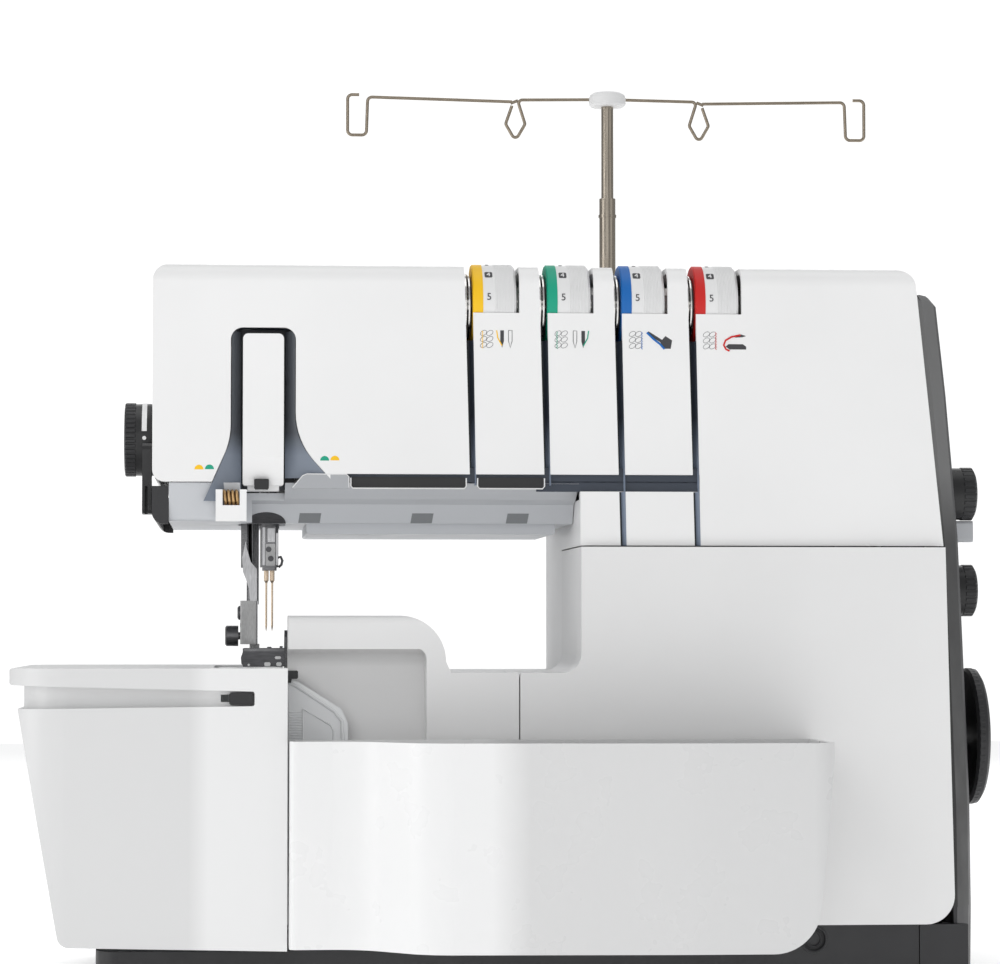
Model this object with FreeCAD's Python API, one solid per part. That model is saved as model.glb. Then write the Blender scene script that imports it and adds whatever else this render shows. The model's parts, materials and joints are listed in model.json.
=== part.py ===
import FreeCAD, Part
import math
import os

# Serger overlock machine. Millimetres. X is the width, the front faces -Y, Z is up.
# The origin is on the surface that the machine stands on, at the middle of its box.

V = FreeCAD.Vector

# ---- driving dimensions -------------------------------------------------------------------
LIP_LEFT = -211.5           # left edge of the extension table
WHEEL_RIGHT = 204.5         # outer face of the handwheel
CENTRING = 3.5              # moves every piece so that the bounding box is centred on the origin
HALF_DEPTH = 140.0          # waste tray at the front, spool stand at the back
BODY_LEFT = -154.0          # left end of the arm
BODY_RIGHT = 177.7          # right edge of the white covers at the bottom
SEAM_RIGHT = 174.3          # right edge of the white covers at the seam
TOP_RIGHT = 162.5           # right edge of the white covers at the top
BODY_FRONT = -77.0
PANEL_FRONT = -81.0
BODY_BACK = 78.0
SPLIT_Y = 4.0               # joint between the front covers and the rear cover
BODY_TOP = 297.0
ARM_BOTTOM = 206.9
SEAM_Z = 181.0              # joint between the upper cover and the lower panel
TOWER_LEFT = 22.3
BED_TOP = 128.4
COVER_BOTTOM = 24.5
WALL = 2.5
GAP = 0.4                   # gap between neighbouring covers

BASE_BOTTOM = 5.0
BASE_RIGHT = 163.3           # right end of the base's front face
FREE_ARM_END = -100.0       # right end of the free arm, left end of the looper space
TABLE_TOP = 130.6
TABLE_FRONT = -100.0
TABLE_BACK = 70.0
PLATE_TOP = 129.8           # top of the needle plate

NEEDLE_X = -105.5
NEEDLE_Y = -30.0
PRESSER_X = -112.5
PRESSER_Y = -15.0
BAR_RADIUS = 3.5
RUNNING_FIT = 0.06          # radial clearance of every shaft and slide

SHAFT_Y = -8.0              # main shaft
SHAFT_Z = 100.0
SHAFT_RADIUS = 5.0
MOTOR_Y = 30.0
MOTOR_Z = 52.0
PULLEY_LEFT = 157.0
PULLEY_RIGHT = 166.0

DIAL_PITCH = 30.9
DIAL_LEFT = -22.0           # left face of the first tension dial
DIAL_WIDTH = 17.8
DIAL_RADIUS = 17.5
DIAL_Y = -59.4
DIAL_Z = 281.2
DIAL_COLOURS = ["yellow", "green", "blue", "red"]
SPINDLE_RADIUS = 3.0

TREE_X = 54.7               # thread stand pole
TREE_Y = 114.0
INNER_PIN = 43.5            # distance of the spool pins and wire loops from the pole
OUTER_PIN = 118.0

# ---- helpers ------------------------------------------------------------------------------
AXES = {"xz": V(0, 1, 0), "yz": V(1, 0, 0), "xy": V(0, 0, 1)}


def put(plane, a, b, along):
    """Point (a, b) of a plane, at a distance along the plane's normal."""
    if plane == "xz":
        return V(a, along, b)
    if plane == "yz":
        return V(along, a, b)
    return V(a, b, along)


def outline(plane, points, along):
    """Closed wire through the points; a third number on a point rounds that corner."""
    corners = []
    for i, here in enumerate(points):
        corner = V(here[0], here[1], 0)
        if len(here) < 3:
            corners.append((corner, None, corner))
            continue
        before = points[i - 1]
        after = points[(i + 1) % len(points)]
        back = (V(before[0], before[1], 0) - corner).normalize()
        on = (V(after[0], after[1], 0) - corner).normalize()
        half = back.getAngle(on) / 2
        reach = here[2] / math.tan(half)
        bisector = (back + on).normalize()
        middle = corner + bisector * (here[2] / math.sin(half) - here[2])
        corners.append((corner + back * reach, middle, corner + on * reach))
    edges = []
    for i, (start, middle, end) in enumerate(corners):
        if middle is not None:
            arc = [put(plane, p.x, p.y, along) for p in (start, middle, end)]
            edges.append(Part.Arc(*arc).toShape())
        following = corners[(i + 1) % len(corners)][0]
        if (following - end).Length > 1e-6:
            line = [put(plane, p.x, p.y, along) for p in (end, following)]
            edges.append(Part.makeLine(*line))
    return Part.Wire(edges)


def prism(plane, points, low, high):
    """Solid with the outline, from low to high along the plane's normal."""
    face = Part.Face(outline(plane, points, low))
    return face.extrude(AXES[plane] * (high - low))


def box(x0, x1, y0, y1, z0, z1):
    return Part.makeBox(x1 - x0, y1 - y0, z1 - z0, V(x0, y0, z0))


def rounded_box(plane, a0, a1, b0, b1, radius, low, high):
    corners = [(a0, b0, radius), (a1, b0, radius), (a1, b1, radius), (a0, b1, radius)]
    return prism(plane, corners, low, high)


def rod(plane, a, b, low, high, radius):
    """Cylinder along the plane's normal."""
    return Part.makeCylinder(radius, high - low, put(plane, a, b, low), AXES[plane])


def ring(plane, a, b, low, high, outer, inner):
    return rod(plane, a, b, low, high, outer).cut(rod(plane, a, b, low - 1, high + 1, inner))


def turned(plane, a, b, profile):
    """Solid turned about the plane's normal through (a, b); profile is (along, radius)."""
    points = [put(plane, a + radius, b, along) for along, radius in profile]
    face = Part.Face(Part.makePolygon(points + points[:1]))
    return face.revolve(put(plane, a, b, 0), AXES[plane], 360)


def fuse(shapes):
    return shapes[0].multiFuse(shapes[1:]).removeSplitter()


def common(first, *others):
    for other in others:
        first = first.common(other)
    return first


def cut(shape, tools):
    return shape.cut(Part.makeCompound(tools))


def save(name, *solids):
    """Write one node: a single solid, or a group of separate solids."""
    pieces = [solid for shape in solids for solid in shape.Solids]
    for piece in pieces:
        if not piece.isValid() or piece.Volume < 0.05:
            raise ValueError("bad solid in " + name)
    shape = pieces[0] if len(pieces) == 1 else Part.makeCompound(pieces)
    shape.translate(V(CENTRING, 0, 0))
    shape.exportStep("parts/" + name + ".step")
    print(name, len(pieces), round(sum(piece.Volume for piece in pieces)))


# ---- covers -------------------------------------------------------------------------------
CAVITY_PROFILE = [(BODY_FRONT + WALL, 8.0), (BODY_FRONT + WALL, BODY_TOP - WALL, 5.0),
                  (BODY_BACK - WALL, BODY_TOP - WALL, 13.5), (BODY_BACK - WALL, 8.0)]
CAVITY_OUTLINE = [(BODY_LEFT + WALL, 200.0), (BODY_LEFT + WALL, BODY_TOP - WALL, 4.5),
                  (TOP_RIGHT - WALL, BODY_TOP - WALL, 5.5), (SEAM_RIGHT - WALL, SEAM_Z),
                  (BODY_RIGHT - WALL, 8.0), (TOWER_LEFT + WALL, 8.0), (TOWER_LEFT + WALL, 200.0)]
HEAD_PROFILE = [(BODY_FRONT, 8.0), (BODY_FRONT, BODY_TOP, 7.5),
                (BODY_BACK, BODY_TOP, 16.0), (BODY_BACK, 8.0)]


def body_cavity():
    """Room inside the arm and the tower."""
    inside = prism("xz", CAVITY_OUTLINE, -90, 90)
    return common(inside, prism("yz", CAVITY_PROFILE, -170, 190))


def end_window():
    """Opening in the right wall of the white covers, hidden by the end cover."""
    return box(168, 182, -50, 60, 35, 230)


SLOT_FLOOR_TOP = 203.4      # below this the slots are grooves with a floor


def slot_left(number, z):
    """Left edge of a leaning thread slot at height z."""
    lean = 0.026
    return DIAL_LEFT - 3.4 + number * DIAL_PITCH + (DIAL_Z - z) * lean


def thread_slot(number):
    """Slot between two tower blocks; the right two run down to the seam."""
    bottom = ARM_BOTTOM - 1 if number < 2 else SEAM_Z - 1
    top = BODY_TOP + 2
    wide = 3.3
    narrow = 2.5
    points = [(slot_left(number, top), top), (slot_left(number, top) + wide, top),
              (slot_left(number, bottom) + narrow, bottom), (slot_left(number, bottom), bottom)]
    slot = prism("xz", points, BODY_FRONT - 3, -40)
    return slot.cut(box(-200, 200, BODY_FRONT + WALL, 0, 0, SLOT_FLOOR_TOP))


def dial_window(number):
    left = DIAL_LEFT + number * DIAL_PITCH
    start = left - 0.8
    end = left + DIAL_WIDTH + 1.2
    room = rod("yz", DIAL_Y, DIAL_Z, start, end, DIAL_RADIUS + 0.5)
    return box(start, end, BODY_FRONT - 3, -38, 277.2, BODY_TOP + 3).fuse(room)


TAKE_UP_SLOT = [(-122.0, 270.5, 5.0), (-95.3, 270.5, 5.0), (-95.3, 224.0, 30.0),
                (-79.9, 207.0), (-79.9, 190.0), (-134.0, 190.0), (-134.0, 197.0),
                (-122.0, 224.0, 30.0)]
CHANNEL_LEFT = -81.0
CHANNEL_RIGHT = 72.0
CHANNEL_LOW = 204.3
CHANNEL_HIGH = 210.3


def front_upper_cover():
    """White front shell of the arm and the upper tower."""
    shape = prism("xz", [(BODY_LEFT, ARM_BOTTOM, 5.0), (BODY_LEFT, BODY_TOP, 7.0),
                         (TOP_RIGHT, BODY_TOP, 8.0), (SEAM_RIGHT, SEAM_Z),
                         (TOWER_LEFT, SEAM_Z), (TOWER_LEFT, ARM_BOTTOM)],
                  BODY_FRONT - 1, SPLIT_Y)
    shape = common(shape, prism("yz", HEAD_PROFILE, -170, 190))
    tools = [body_cavity(), end_window(), prism("xz", TAKE_UP_SLOT, -90, -60)]
    tools.append(box(CHANNEL_LEFT, CHANNEL_RIGHT, -90, -66, CHANNEL_LOW - 1, CHANNEL_HIGH))
    tools.append(rod("yz", -20.0, 227.0, -160, -145, 4.0 + RUNNING_FIT))
    for number in range(len(DIAL_COLOURS)):
        tools.append(thread_slot(number))
        tools.append(dial_window(number))
    backing = box(TOWER_LEFT, 100, BODY_FRONT + WALL, BODY_FRONT + 2 * WALL, SEAM_Z, SLOT_FLOOR_TOP)
    save("front_upper_cover", fuse([cut(shape, tools), backing]))


def rear_cover():
    """White rear shell, with the bed between the needle and the tower."""
    shape = prism("xz", [(BODY_LEFT, ARM_BOTTOM, 5.0), (BODY_LEFT, BODY_TOP, 7.0),
                         (TOP_RIGHT, BODY_TOP, 8.0), (SEAM_RIGHT, SEAM_Z),
                         (BODY_RIGHT, COVER_BOTTOM), (TOWER_LEFT, COVER_BOTTOM),
                         (TOWER_LEFT, ARM_BOTTOM)],
                  SPLIT_Y + GAP / 4, BODY_BACK + 1)
    shape = common(shape, prism("yz", HEAD_PROFILE, -170, 190))
    shape = cut(shape, [body_cavity(), end_window()])
    bed_left = FREE_ARM_END + 2.5
    bed = box(bed_left, TOWER_LEFT + WALL, -56, BODY_BACK, COVER_BOTTOM, BED_TOP)
    hollow = box(bed_left - 1, TOWER_LEFT + 20, -57, BODY_BACK - WALL, 8, BED_TOP - WALL)
    panel_room = box(-3.4, TOWER_LEFT + 20, -57, SPLIT_Y + GAP / 4, 8, BED_TOP + 1)
    knife_room = box(bed_left - 1, -88, -57, 14, 100, BED_TOP + 1)
    bed = cut(bed, [hollow, panel_room, knife_room])
    bed = bed.cut(box(TOWER_LEFT + WALL, 60, -90, 90, 8, BED_TOP + 1))
    lifter_slot = box(-127, -113, BODY_BACK - 6, BODY_BACK + 2, 206, 246)
    handle_recess = rounded_box("xz", -50, 60, 262, 284, 8, BODY_BACK - 1.2, BODY_BACK + 2)
    save("rear_cover", cut(fuse([shape, bed]), [lifter_slot, handle_recess]))


def front_lower_panel():
    """White lower front of the tower, with the shelf that the looper cover meets."""
    shape = prism("xz", [(-3.0, COVER_BOTTOM), (-3.0, BED_TOP, 1.5), (TOWER_LEFT, BED_TOP, 8.0),
                         (TOWER_LEFT, SEAM_Z - 0.6), (SEAM_RIGHT, SEAM_Z - 0.6),
                         (BODY_RIGHT, COVER_BOTTOM, 12.0)],
                  PANEL_FRONT, SPLIT_Y)
    inside = prism("xz", [(-10.0, 8.0), (-10.0, BED_TOP - WALL), (TOWER_LEFT + WALL, BED_TOP - WALL),
                          (TOWER_LEFT + WALL, 190.0), (SEAM_RIGHT - WALL - 0.3, 190.0),
                          (BODY_RIGHT - WALL, COVER_BOTTOM + WALL, 9.5), (TOWER_LEFT, COVER_BOTTOM + WALL),
                          (TOWER_LEFT, 8.0)],
                   PANEL_FRONT + WALL, SPLIT_Y + 1)
    floor_room = box(TOWER_LEFT + WALL, 160, -70, SPLIT_Y + 1, COVER_BOTTOM - 1, COVER_BOTTOM + WALL + 1)
    save("front_lower_panel", cut(shape, [inside, end_window(), floor_room]))


END_LEVELS = [(5.0, 189.0), (30.0, 189.4), (73.0, 189.0), (142.0, 186.4), (185.0, 184.6),
              (216.0, 182.2), (246.0, 179.7), (283.2, 175.7), (286.8, 172.6)]


def end_block(inset, low, high):
    """Stacked plans of the end cap; each level gives how far out its front edge stands."""
    wires = []
    for z, reach in END_LEVELS:
        x = reach - inset
        front = -74.0 + inset
        back = BODY_BACK + 2 - inset
        points = [(150.0, front), (x - 9.5, front), (x - 2.2, -62.0), (x + 0.8, -53.0), (x + 5.5, -10.0),
                  (x + 8.0, 32.0), (x + 8.0, 71.0), (x + 4.0, back), (150.0, back)]
        wires.append(Part.makePolygon([V(a, b, z) for a, b in points + points[:1]]))
    stack = Part.makeLoft(wires, True, True)
    return common(stack, box(140, 220, -90, 90, low, high))


def right_end_cover():
    """Dark end cap; it bulges towards the middle of its depth and wraps the base's corner."""
    side = [(165.5, 284.0), (168.5, 300.0), (230.0, 300.0), (230.0, 5.0), (177.6, 5.0), (178.4, COVER_BOTTOM),
            (175.0, SEAM_Z)]
    shape = common(prism("xz", side, -90, 90), end_block(0.0, 5.0, 286.8))
    inside = end_block(3.0, 8.0, 283.8)
    skirt = box(BASE_RIGHT + GAP, 184.0, -76.0, -71.5, 5.0, COVER_BOTTOM - GAP)
    tools = [inside]
    tools.append(rod("yz", SHAFT_Y, SHAFT_Z, 180, 200, 9.0))
    for z in (DIFFERENTIAL_Z, STITCH_Z):
        tools.append(rod("yz", KNOB_Y, z, 180, 200, SPINDLE_RADIUS + RUNNING_FIT))
    tools.append(box(183, 200, KNOB_Y - 4, KNOB_Y + 4, LEVER_Z - 10, LEVER_Z + 5.5))
    tools.append(box(190, 200, 40.5, 65.5, 28.5, 50.5))
    tools.append(box(190, 200, 44.5, 61.5, 58.0, 80.0))
    save("right_end_cover", cut(fuse([shape, skirt]), tools))


KNOB_Y = -10.0
DIFFERENTIAL_Z = 205.4
STITCH_Z = 163.3
LEVER_Z = 189.0


# ---- base and frame -----------------------------------------------------------------------
FEET = [(-155.0, -62.0), (-155.0, 62.0), (162.0, -60.0), (162.0, 62.0), (0.0, 62.0)]
FOOT_RADIUS = 11.0


def base_frame():
    """Dark base with a rim that the white covers stand on; lower under the free arm."""
    plan = [(-176.5, -76.0, 12.0), (BASE_RIGHT, -76.0), (BASE_RIGHT, -71.0), (177.0, -71.0),
            (177.0, 80.0, 3.0), (-176.5, 80.0, 12.0)]
    shape = prism("xy", plan, BASE_BOTTOM, COVER_BOTTOM)
    left_step = box(-200, FREE_ARM_END + 3, -100, 100, 15.0, 40)
    pocket = box(FREE_ARM_END - 8, 174, -72, 75, 9.0, 40)
    screw_recess = rod("xz", 119.2, 18.4, -80, -74.5, 5.4)
    save("base_frame", cut(shape, [left_step, pocket, screw_recess]))


def rubber_feet():
    feet = []
    for x, y in FEET:
        foot = turned("xy", x, y, [(0.0, 0.0), (0.0, FOOT_RADIUS - 1.5), (1.0, FOOT_RADIUS - 0.5),
                                   (BASE_BOTTOM, FOOT_RADIUS), (BASE_BOTTOM, 0.0)])
        feet.append(foot)
    save("rubber_feet", *feet)


BEARING_PLATES = [(27.0, 33.0), (147.0, 153.0)]
BEARING_OUTER = 11.0


def chassis_casting():
    """Cast frame: floor, two tower plates, back column, arm beam, needle bar head, free arm."""
    pieces = [box(-94, 170, -50, 70, 9.0, 14.0)]
    for x0, x1 in BEARING_PLATES:
        pieces.append(box(x0, x1, -45, 68, 13.0, 180.0))
    pieces.append(box(27, 153, 62, 68, 13.0, 250.0))
    pieces.append(box(-146, 153, 50, 68, 215.0, 250.0))
    pieces.append(box(-124, -92, -42, 52, 216.0, 222.0))
    pieces.append(box(-124, -92, -42, 52, 266.0, 272.0))
    pieces.append(box(-95, -92, -42, 52, 216.0, 272.0))
    for x in (-124.0, -95.0):
        pieces.append(box(x, x + 3, -60, -36, 232.0, 244.0))
        pieces.append(box(x, x + 3, -42, -36, 216.0, 244.0))
    pieces.append(box(-80, -22, -21, -15, 13.0, 70.0))
    pieces.append(box(-86, -80, -21, 10, 13.0, 120.0))
    pieces.append(free_arm())
    shape = fuse(pieces)
    tools = [rod("yz", SHAFT_Y, SHAFT_Z, 20, 160, BEARING_OUTER)]
    tools.append(rod("yz", MOTOR_Y, MOTOR_Z, 140, 160, 8.0))
    for x, y, radius in ((NEEDLE_X, NEEDLE_Y, BAR_RADIUS + 3), (PRESSER_X, PRESSER_Y, BAR_RADIUS + 3)):
        tools.append(rod("xy", x, y, 210, 280, radius))
    tools.append(rod("yz", TAKE_UP_Y, TAKE_UP_Z, -130, -80, TAKE_UP_RADIUS + RUNNING_FIT))
    for x, z in LOOPER_PINS:
        tools.append(rod("xz", x, z, -30, -10, 3.0))
    tools.append(rod("yz", KNIFE_Y, KNIFE_Z, -90, -75, 3.0))
    tools.append(box(LIFTER_X - 4.8, LIFTER_X + 4.8, 49, 70, 210, 255))
    tools.append(rod("yz", LIFTER_Y, LIFTER_Z, LIFTER_X - 8, LIFTER_X + 8, 2.5))
    save("chassis_casting", cut(shape, tools))


TAKE_UP_Y = -48.0
TAKE_UP_Z = 238.0
TAKE_UP_RADIUS = 2.5
LOOPER_PINS = [(-60.0, 50.0), (-36.0, 60.0)]
KNIFE_Y = 0.0
KNIFE_Z = 112.0


def free_arm():
    """Narrow hollow bed left of the needle that carries the needle plate."""
    outer = box(-168, FREE_ARM_END, -62, 58, 15.0, 126.0)
    inner = box(-164, FREE_ARM_END - 3, -58, 54, 19.0, 122.0)
    plate_hole = box(-122, FREE_ARM_END - 3, -54, 22, 120, 128)
    join = box(-107.5, -90, -50, 58, 9.0, 18.0)
    return fuse([cut(outer, [inner, plate_hole]), join])


def left_corner_trim():
    shape = prism("xz", [(-154.2, 205.2), (-147.4, 205.2), (-147.4, 189.6), (-154.2, 189.6, 5.0)],
                  -74.0, 60.0)
    save("left_corner_trim", shape.cut(box(-151.6, -140, -71.5, 57.5, 180, 210)))


UNDER_PROFILE = [(-74.6, ARM_BOTTOM - 0.3), (-60.0, 200.4), (-52.0, 198.6), (-46.5, 190.8),
                 (58.0, 190.8, 6.0), (74.0, ARM_BOTTOM - 0.3)]
LEFT_UNDER_PROFILE = [(-75.0, ARM_BOTTOM - 0.3), (-72.5, 190.8, 2.0), (58.0, 190.8, 6.0),
                      (74.0, ARM_BOTTOM - 0.3)]


def arm_under_panel():
    """Light grey panel that closes the arm from below; the lamps shine through it."""
    left = prism("yz", LEFT_UNDER_PROFILE, -147.2, -113.0)
    right = prism("yz", UNDER_PROFILE, -113.0, TOWER_LEFT - 0.3)
    keel = rounded_box("xz", -90, 15, 186.5, 196, 1.0, -42.0, 45.0)
    shape = fuse([left, right, keel])
    upper = [(-70.0, 207.0), (-58.0, 203.0), (-49.5, 201.0), (-44.0, 193.3), (56.0, 193.3), (70.0, 207.0)]
    inside = prism("yz", upper, -144.7, TOWER_LEFT - 3)
    hollow_keel = box(-87.5, 12.5, -39.5, 42.5, 189, 200)
    bars = rounded_box("xy", -118.5, -98.5, -40.0, -4.0, 9.0, 180, 210)
    take_up = box(-118.0, -99.5, -80, -58, 190, 215)
    tools = [inside, hollow_keel, bars, take_up]
    save("arm_under_panel", cut(shape, tools))


def thread_path_liner():
    """Slate coloured walls of the take-up slot and floor of the thread channel."""
    depth_front = BODY_FRONT + WALL + 0.1
    outer = [(-125.0, 273.0, 6.0), (-92.5, 273.0, 6.0), (-92.5, 224.0, 30.0), (-82.0, 210.0),
             (-82.0, ARM_BOTTOM + 0.1), (-134.5, ARM_BOTTOM + 0.1), (-125.0, 224.0, 30.0)]
    inner = [(-122.0, 270.5, 5.0), (-95.3, 270.5, 5.0), (-95.3, 224.0, 30.0), (-84.5, 209.0),
             (-84.5, 200.0), (-132.0, 200.0), (-132.0, 205.0), (-122.0, 224.0, 30.0)]
    funnel = prism("xz", outer, depth_front, -60.0).cut(prism("xz", inner, -80, -50))
    channel = box(CHANNEL_LEFT + 0.2, CHANNEL_RIGHT + 4, depth_front, -66.5, ARM_BOTTOM + 0.1, 213.0)
    save("thread_path_liner", fuse([funnel, channel]))


def take_up_cover():
    """White bar in front of the take-up lever."""
    shape = prism("xz", [(-117.0, 205.5, 1.0), (-117.0, 268.0, 2.2), (-100.2, 268.0, 2.2),
                         (-100.2, 205.5, 1.0)], BODY_FRONT, -66.0)
    nose = prism("yz", [(BODY_FRONT - 5, 204.0), (BODY_FRONT - 5, 217.0), (BODY_FRONT, 217.0),
                        (BODY_FRONT + 3.0, 208.0), (BODY_FRONT + 3.0, 204.0)], -120, -95)
    foot = box(-115.0, -102.0, -70.0, -59.0, 203.5, 209.0)
    window = box(-112.3, -106.2, BODY_FRONT - 1, -71.5, 203.8, 208.2)
    save("take_up_cover", cut(fuse([shape.cut(nose), foot]), [window]))


def needle_thread_guide():
    """White bracket with two cheeks that hold the coil guides."""
    block = box(-128.0, -115.4, -83.0, -74.9, 190.6, 197.0)
    shape = fuse([block, box(-128.0, -125.2, -83.0, -74.9, 190.6, 203.5),
                  box(-118.2, -115.4, -83.0, -74.9, 190.6, 203.5)])
    save("needle_thread_guide", shape)


def thread_cutter():
    shape = rounded_box("yz", -52.0, -36.0, 194.5, 224.0, 3.0, -158.7, -154.9)
    save("thread_cutter", shape.cut(box(-157.6, -156.4, -60, -46, 190, 206)))


def needle_plate():
    """Steel plate under the foot, with the needle slot and the feed dog slots."""
    shape = rounded_box("xy", -126.5, FREE_ARM_END, -70.0, 26.0, 3.0, 126.0, PLATE_TOP)
    needle_slot = rounded_box("xy", -108.0, -102.8, NEEDLE_Y - 2.5, NEEDLE_Y + 2.5, 2.0, 120, 140)
    tools = [needle_slot]
    for left in FEED_ROWS:
        tools.append(box(left - 0.5, left + FEED_WIDTH + 0.5, -26.5, 6.5, 120, 140))
    save("needle_plate", cut(shape, tools))


FEED_ROWS = [-119.0, -114.0]
FEED_WIDTH = 2.0


def lower_knife():
    """Fixed blade and its holder, right of the needle plate."""
    blade = prism("yz", [(-48.0, 116.0), (-48.0, 127.0), (-46.0, PLATE_TOP), (-30.0, PLATE_TOP),
                         (-30.0, 116.0)], -96.8, -94.8)
    holder = box(-94.8, -88.5, -46.0, -30.0, 116.0, 122.0)
    stem = box(-92.0, -84.0, -36.0, -22.0, 116.0, 120.0)
    foot = box(-86.0, -80.0, -36.0, -21.0, 114.0, 120.0)
    save("lower_knife", fuse([blade, holder, stem, foot]))


def plain_bearings():
    """Bronze bearings of the main shaft and bushes of the needle bar and presser bar."""
    bearings = []
    for x0, x1 in BEARING_PLATES:
        bearings.append(ring("yz", SHAFT_Y, SHAFT_Z, x0 - 2, x1 + 2, BEARING_OUTER, SHAFT_RADIUS + RUNNING_FIT))
    for x, y in ((NEEDLE_X, NEEDLE_Y), (PRESSER_X, PRESSER_Y)):
        for low in (214.0, 264.0):
            bearings.append(ring("xy", x, y, low, low + 10, BAR_RADIUS + 3, BAR_RADIUS + RUNNING_FIT))
    save("plain_bearings", *bearings)


def motor_body():
    drum = rod("yz", MOTOR_Y, MOTOR_Z, 62, 147, 26.0)
    nose = rod("yz", MOTOR_Y, MOTOR_Z, 147, 149, 7.9)
    foot = box(70, 138, MOTOR_Y - 18, MOTOR_Y + 18, 14.0, 34.0)
    shape = fuse([drum, nose, foot])
    save("motor_body", shape.cut(rod("yz", MOTOR_Y, MOTOR_Z, 120, 160, 3.0 + RUNNING_FIT)))


def drive_belt():
    """Toothed belt round both pulleys; its inside stands a little off them."""
    span = math.hypot(MOTOR_Y - SHAFT_Y, MOTOR_Z - SHAFT_Z)
    angle = math.degrees(math.atan2(MOTOR_Z - SHAFT_Z, MOTOR_Y - SHAFT_Y))
    lean = math.degrees(math.asin((MAIN_PULLEY - MOTOR_PULLEY) / span))
    shells = []
    for extra in (1.8, 0.3):
        big = MAIN_PULLEY + extra
        small = MOTOR_PULLEY + extra
        corners = []
        for centre_y, centre_z, radius, turn in ((SHAFT_Y, SHAFT_Z, big, 90 - lean),
                                                 (MOTOR_Y, MOTOR_Z, small, 90 - lean),
                                                 (MOTOR_Y, MOTOR_Z, small, lean - 90),
                                                 (SHAFT_Y, SHAFT_Z, big, lean - 90)):
            a = math.radians(angle + turn)
            corners.append((centre_y + radius * math.cos(a), centre_z + radius * math.sin(a)))
        low = PULLEY_LEFT + 1.5 + (0 if extra > 1 else -1)
        high = PULLEY_RIGHT - 1.5 + (0 if extra > 1 else 1)
        shells.append(fuse([prism("yz", corners, low, high), rod("yz", SHAFT_Y, SHAFT_Z, low, high, big),
                            rod("yz", MOTOR_Y, MOTOR_Z, low, high, small)]))
    save("drive_belt", shells[0].cut(shells[1]))


MAIN_PULLEY = 22.0
MOTOR_PULLEY = 8.0


def power_inlet():
    """Appliance inlet on the end cover: a frame with three pins in a well."""
    frame = rounded_box("yz", 38.0, 68.0, 26.0, 53.0, 3.0, 197.4, 199.0)
    body = box(180.0, 197.6, 41.0, 65.0, 29.0, 50.0)
    well = rounded_box("yz", 42.5, 63.5, 31.0, 48.0, 2.0, 184.0, 201.0)
    pins = [box(183.5, 195.0, y - 2.0, y + 2.0, 38.5, 40.5) for y in (47.0, 53.0, 59.0)]
    save("power_inlet", fuse([cut(fuse([frame, body]), [well])] + pins))


# ---- thread stand -------------------------------------------------------------------------
STAND_BOTTOM = 28.0
STAND_TOP = 38.0
PIN_TOP = 126.0
PIN_RADIUS = 2.5
SEAT_RADIUS = 3.6
CUSHION_TOP = 67.8


def spool_places():
    return [TREE_X + side * reach for side in (-1, 1) for reach in (INNER_PIN, OUTER_PIN)]


def spool_stand():
    """Tray behind the machine on two arms that are screwed to the rear cover."""
    plate = rounded_box("xy", -92.0, 201.0, 88.0, HALF_DEPTH, 16.0, STAND_BOTTOM, STAND_TOP)
    shape = plate.cut(rounded_box("xy", -89.0, 198.0, 91.0, HALF_DEPTH - 3, 13.0, STAND_BOTTOM - 1, STAND_TOP - 3))
    pieces = [shape]
    for x in (-20.0, 130.0):
        pieces.append(box(x - 8, x + 8, BODY_BACK, 92.0, STAND_TOP - 13, STAND_TOP))
        pieces.append(box(x - 14, x + 14, BODY_BACK, BODY_BACK + 3, STAND_TOP - 13, STAND_TOP + 16))
    pieces.append(rod("xy", TREE_X, TREE_Y, STAND_BOTTOM, STAND_TOP + 14, 9.0))
    for x in spool_places():
        pieces.append(rod("xy", x, TREE_Y, STAND_BOTTOM, STAND_TOP, 6.0))
    tools = [rod("xy", TREE_X, TREE_Y, STAND_BOTTOM + 3, 90, 5.0)]
    tools += [rod("xy", x, TREE_Y, STAND_BOTTOM + 2, 90, SEAT_RADIUS) for x in spool_places()]
    save("spool_stand", cut(fuse(pieces), tools))


def spool_pins():
    pins = []
    for x in spool_places():
        pins.append(turned("xy", x, TREE_Y, [(STAND_BOTTOM + 2, 0.0), (STAND_BOTTOM + 2, SEAT_RADIUS),
                                             (CUSHION_TOP, SEAT_RADIUS), (CUSHION_TOP, PIN_RADIUS),
                                             (PIN_TOP - 2, PIN_RADIUS), (PIN_TOP, 1.2), (PIN_TOP, 0.0)]))
    save("spool_pins", *pins)


def spool_cushions():
    """Stepped cone holders round the foot of each spool pin."""
    profile = [(STAND_TOP, SEAT_RADIUS), (STAND_TOP, 22.0), (STAND_TOP + 3, 22.0), (STAND_TOP + 4, 15.0),
               (STAND_TOP + 18, 11.0), (CUSHION_TOP, 6.0), (CUSHION_TOP, SEAT_RADIUS)]
    save("spool_cushions", *[turned("xy", x, TREE_Y, profile) for x in spool_places()])


POLE_BASE_TOP = 215.0
MIDDLE_LOW = 192.0
MIDDLE_TOP = 349.0
MIDDLE_RADIUS = 3.8
ROD_LOW = 336.0
ROD_TOP = 394.3
DISC_LOW = 392.5
ROD_RADIUS = 2.85
DISC_TOP = 399.0


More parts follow.
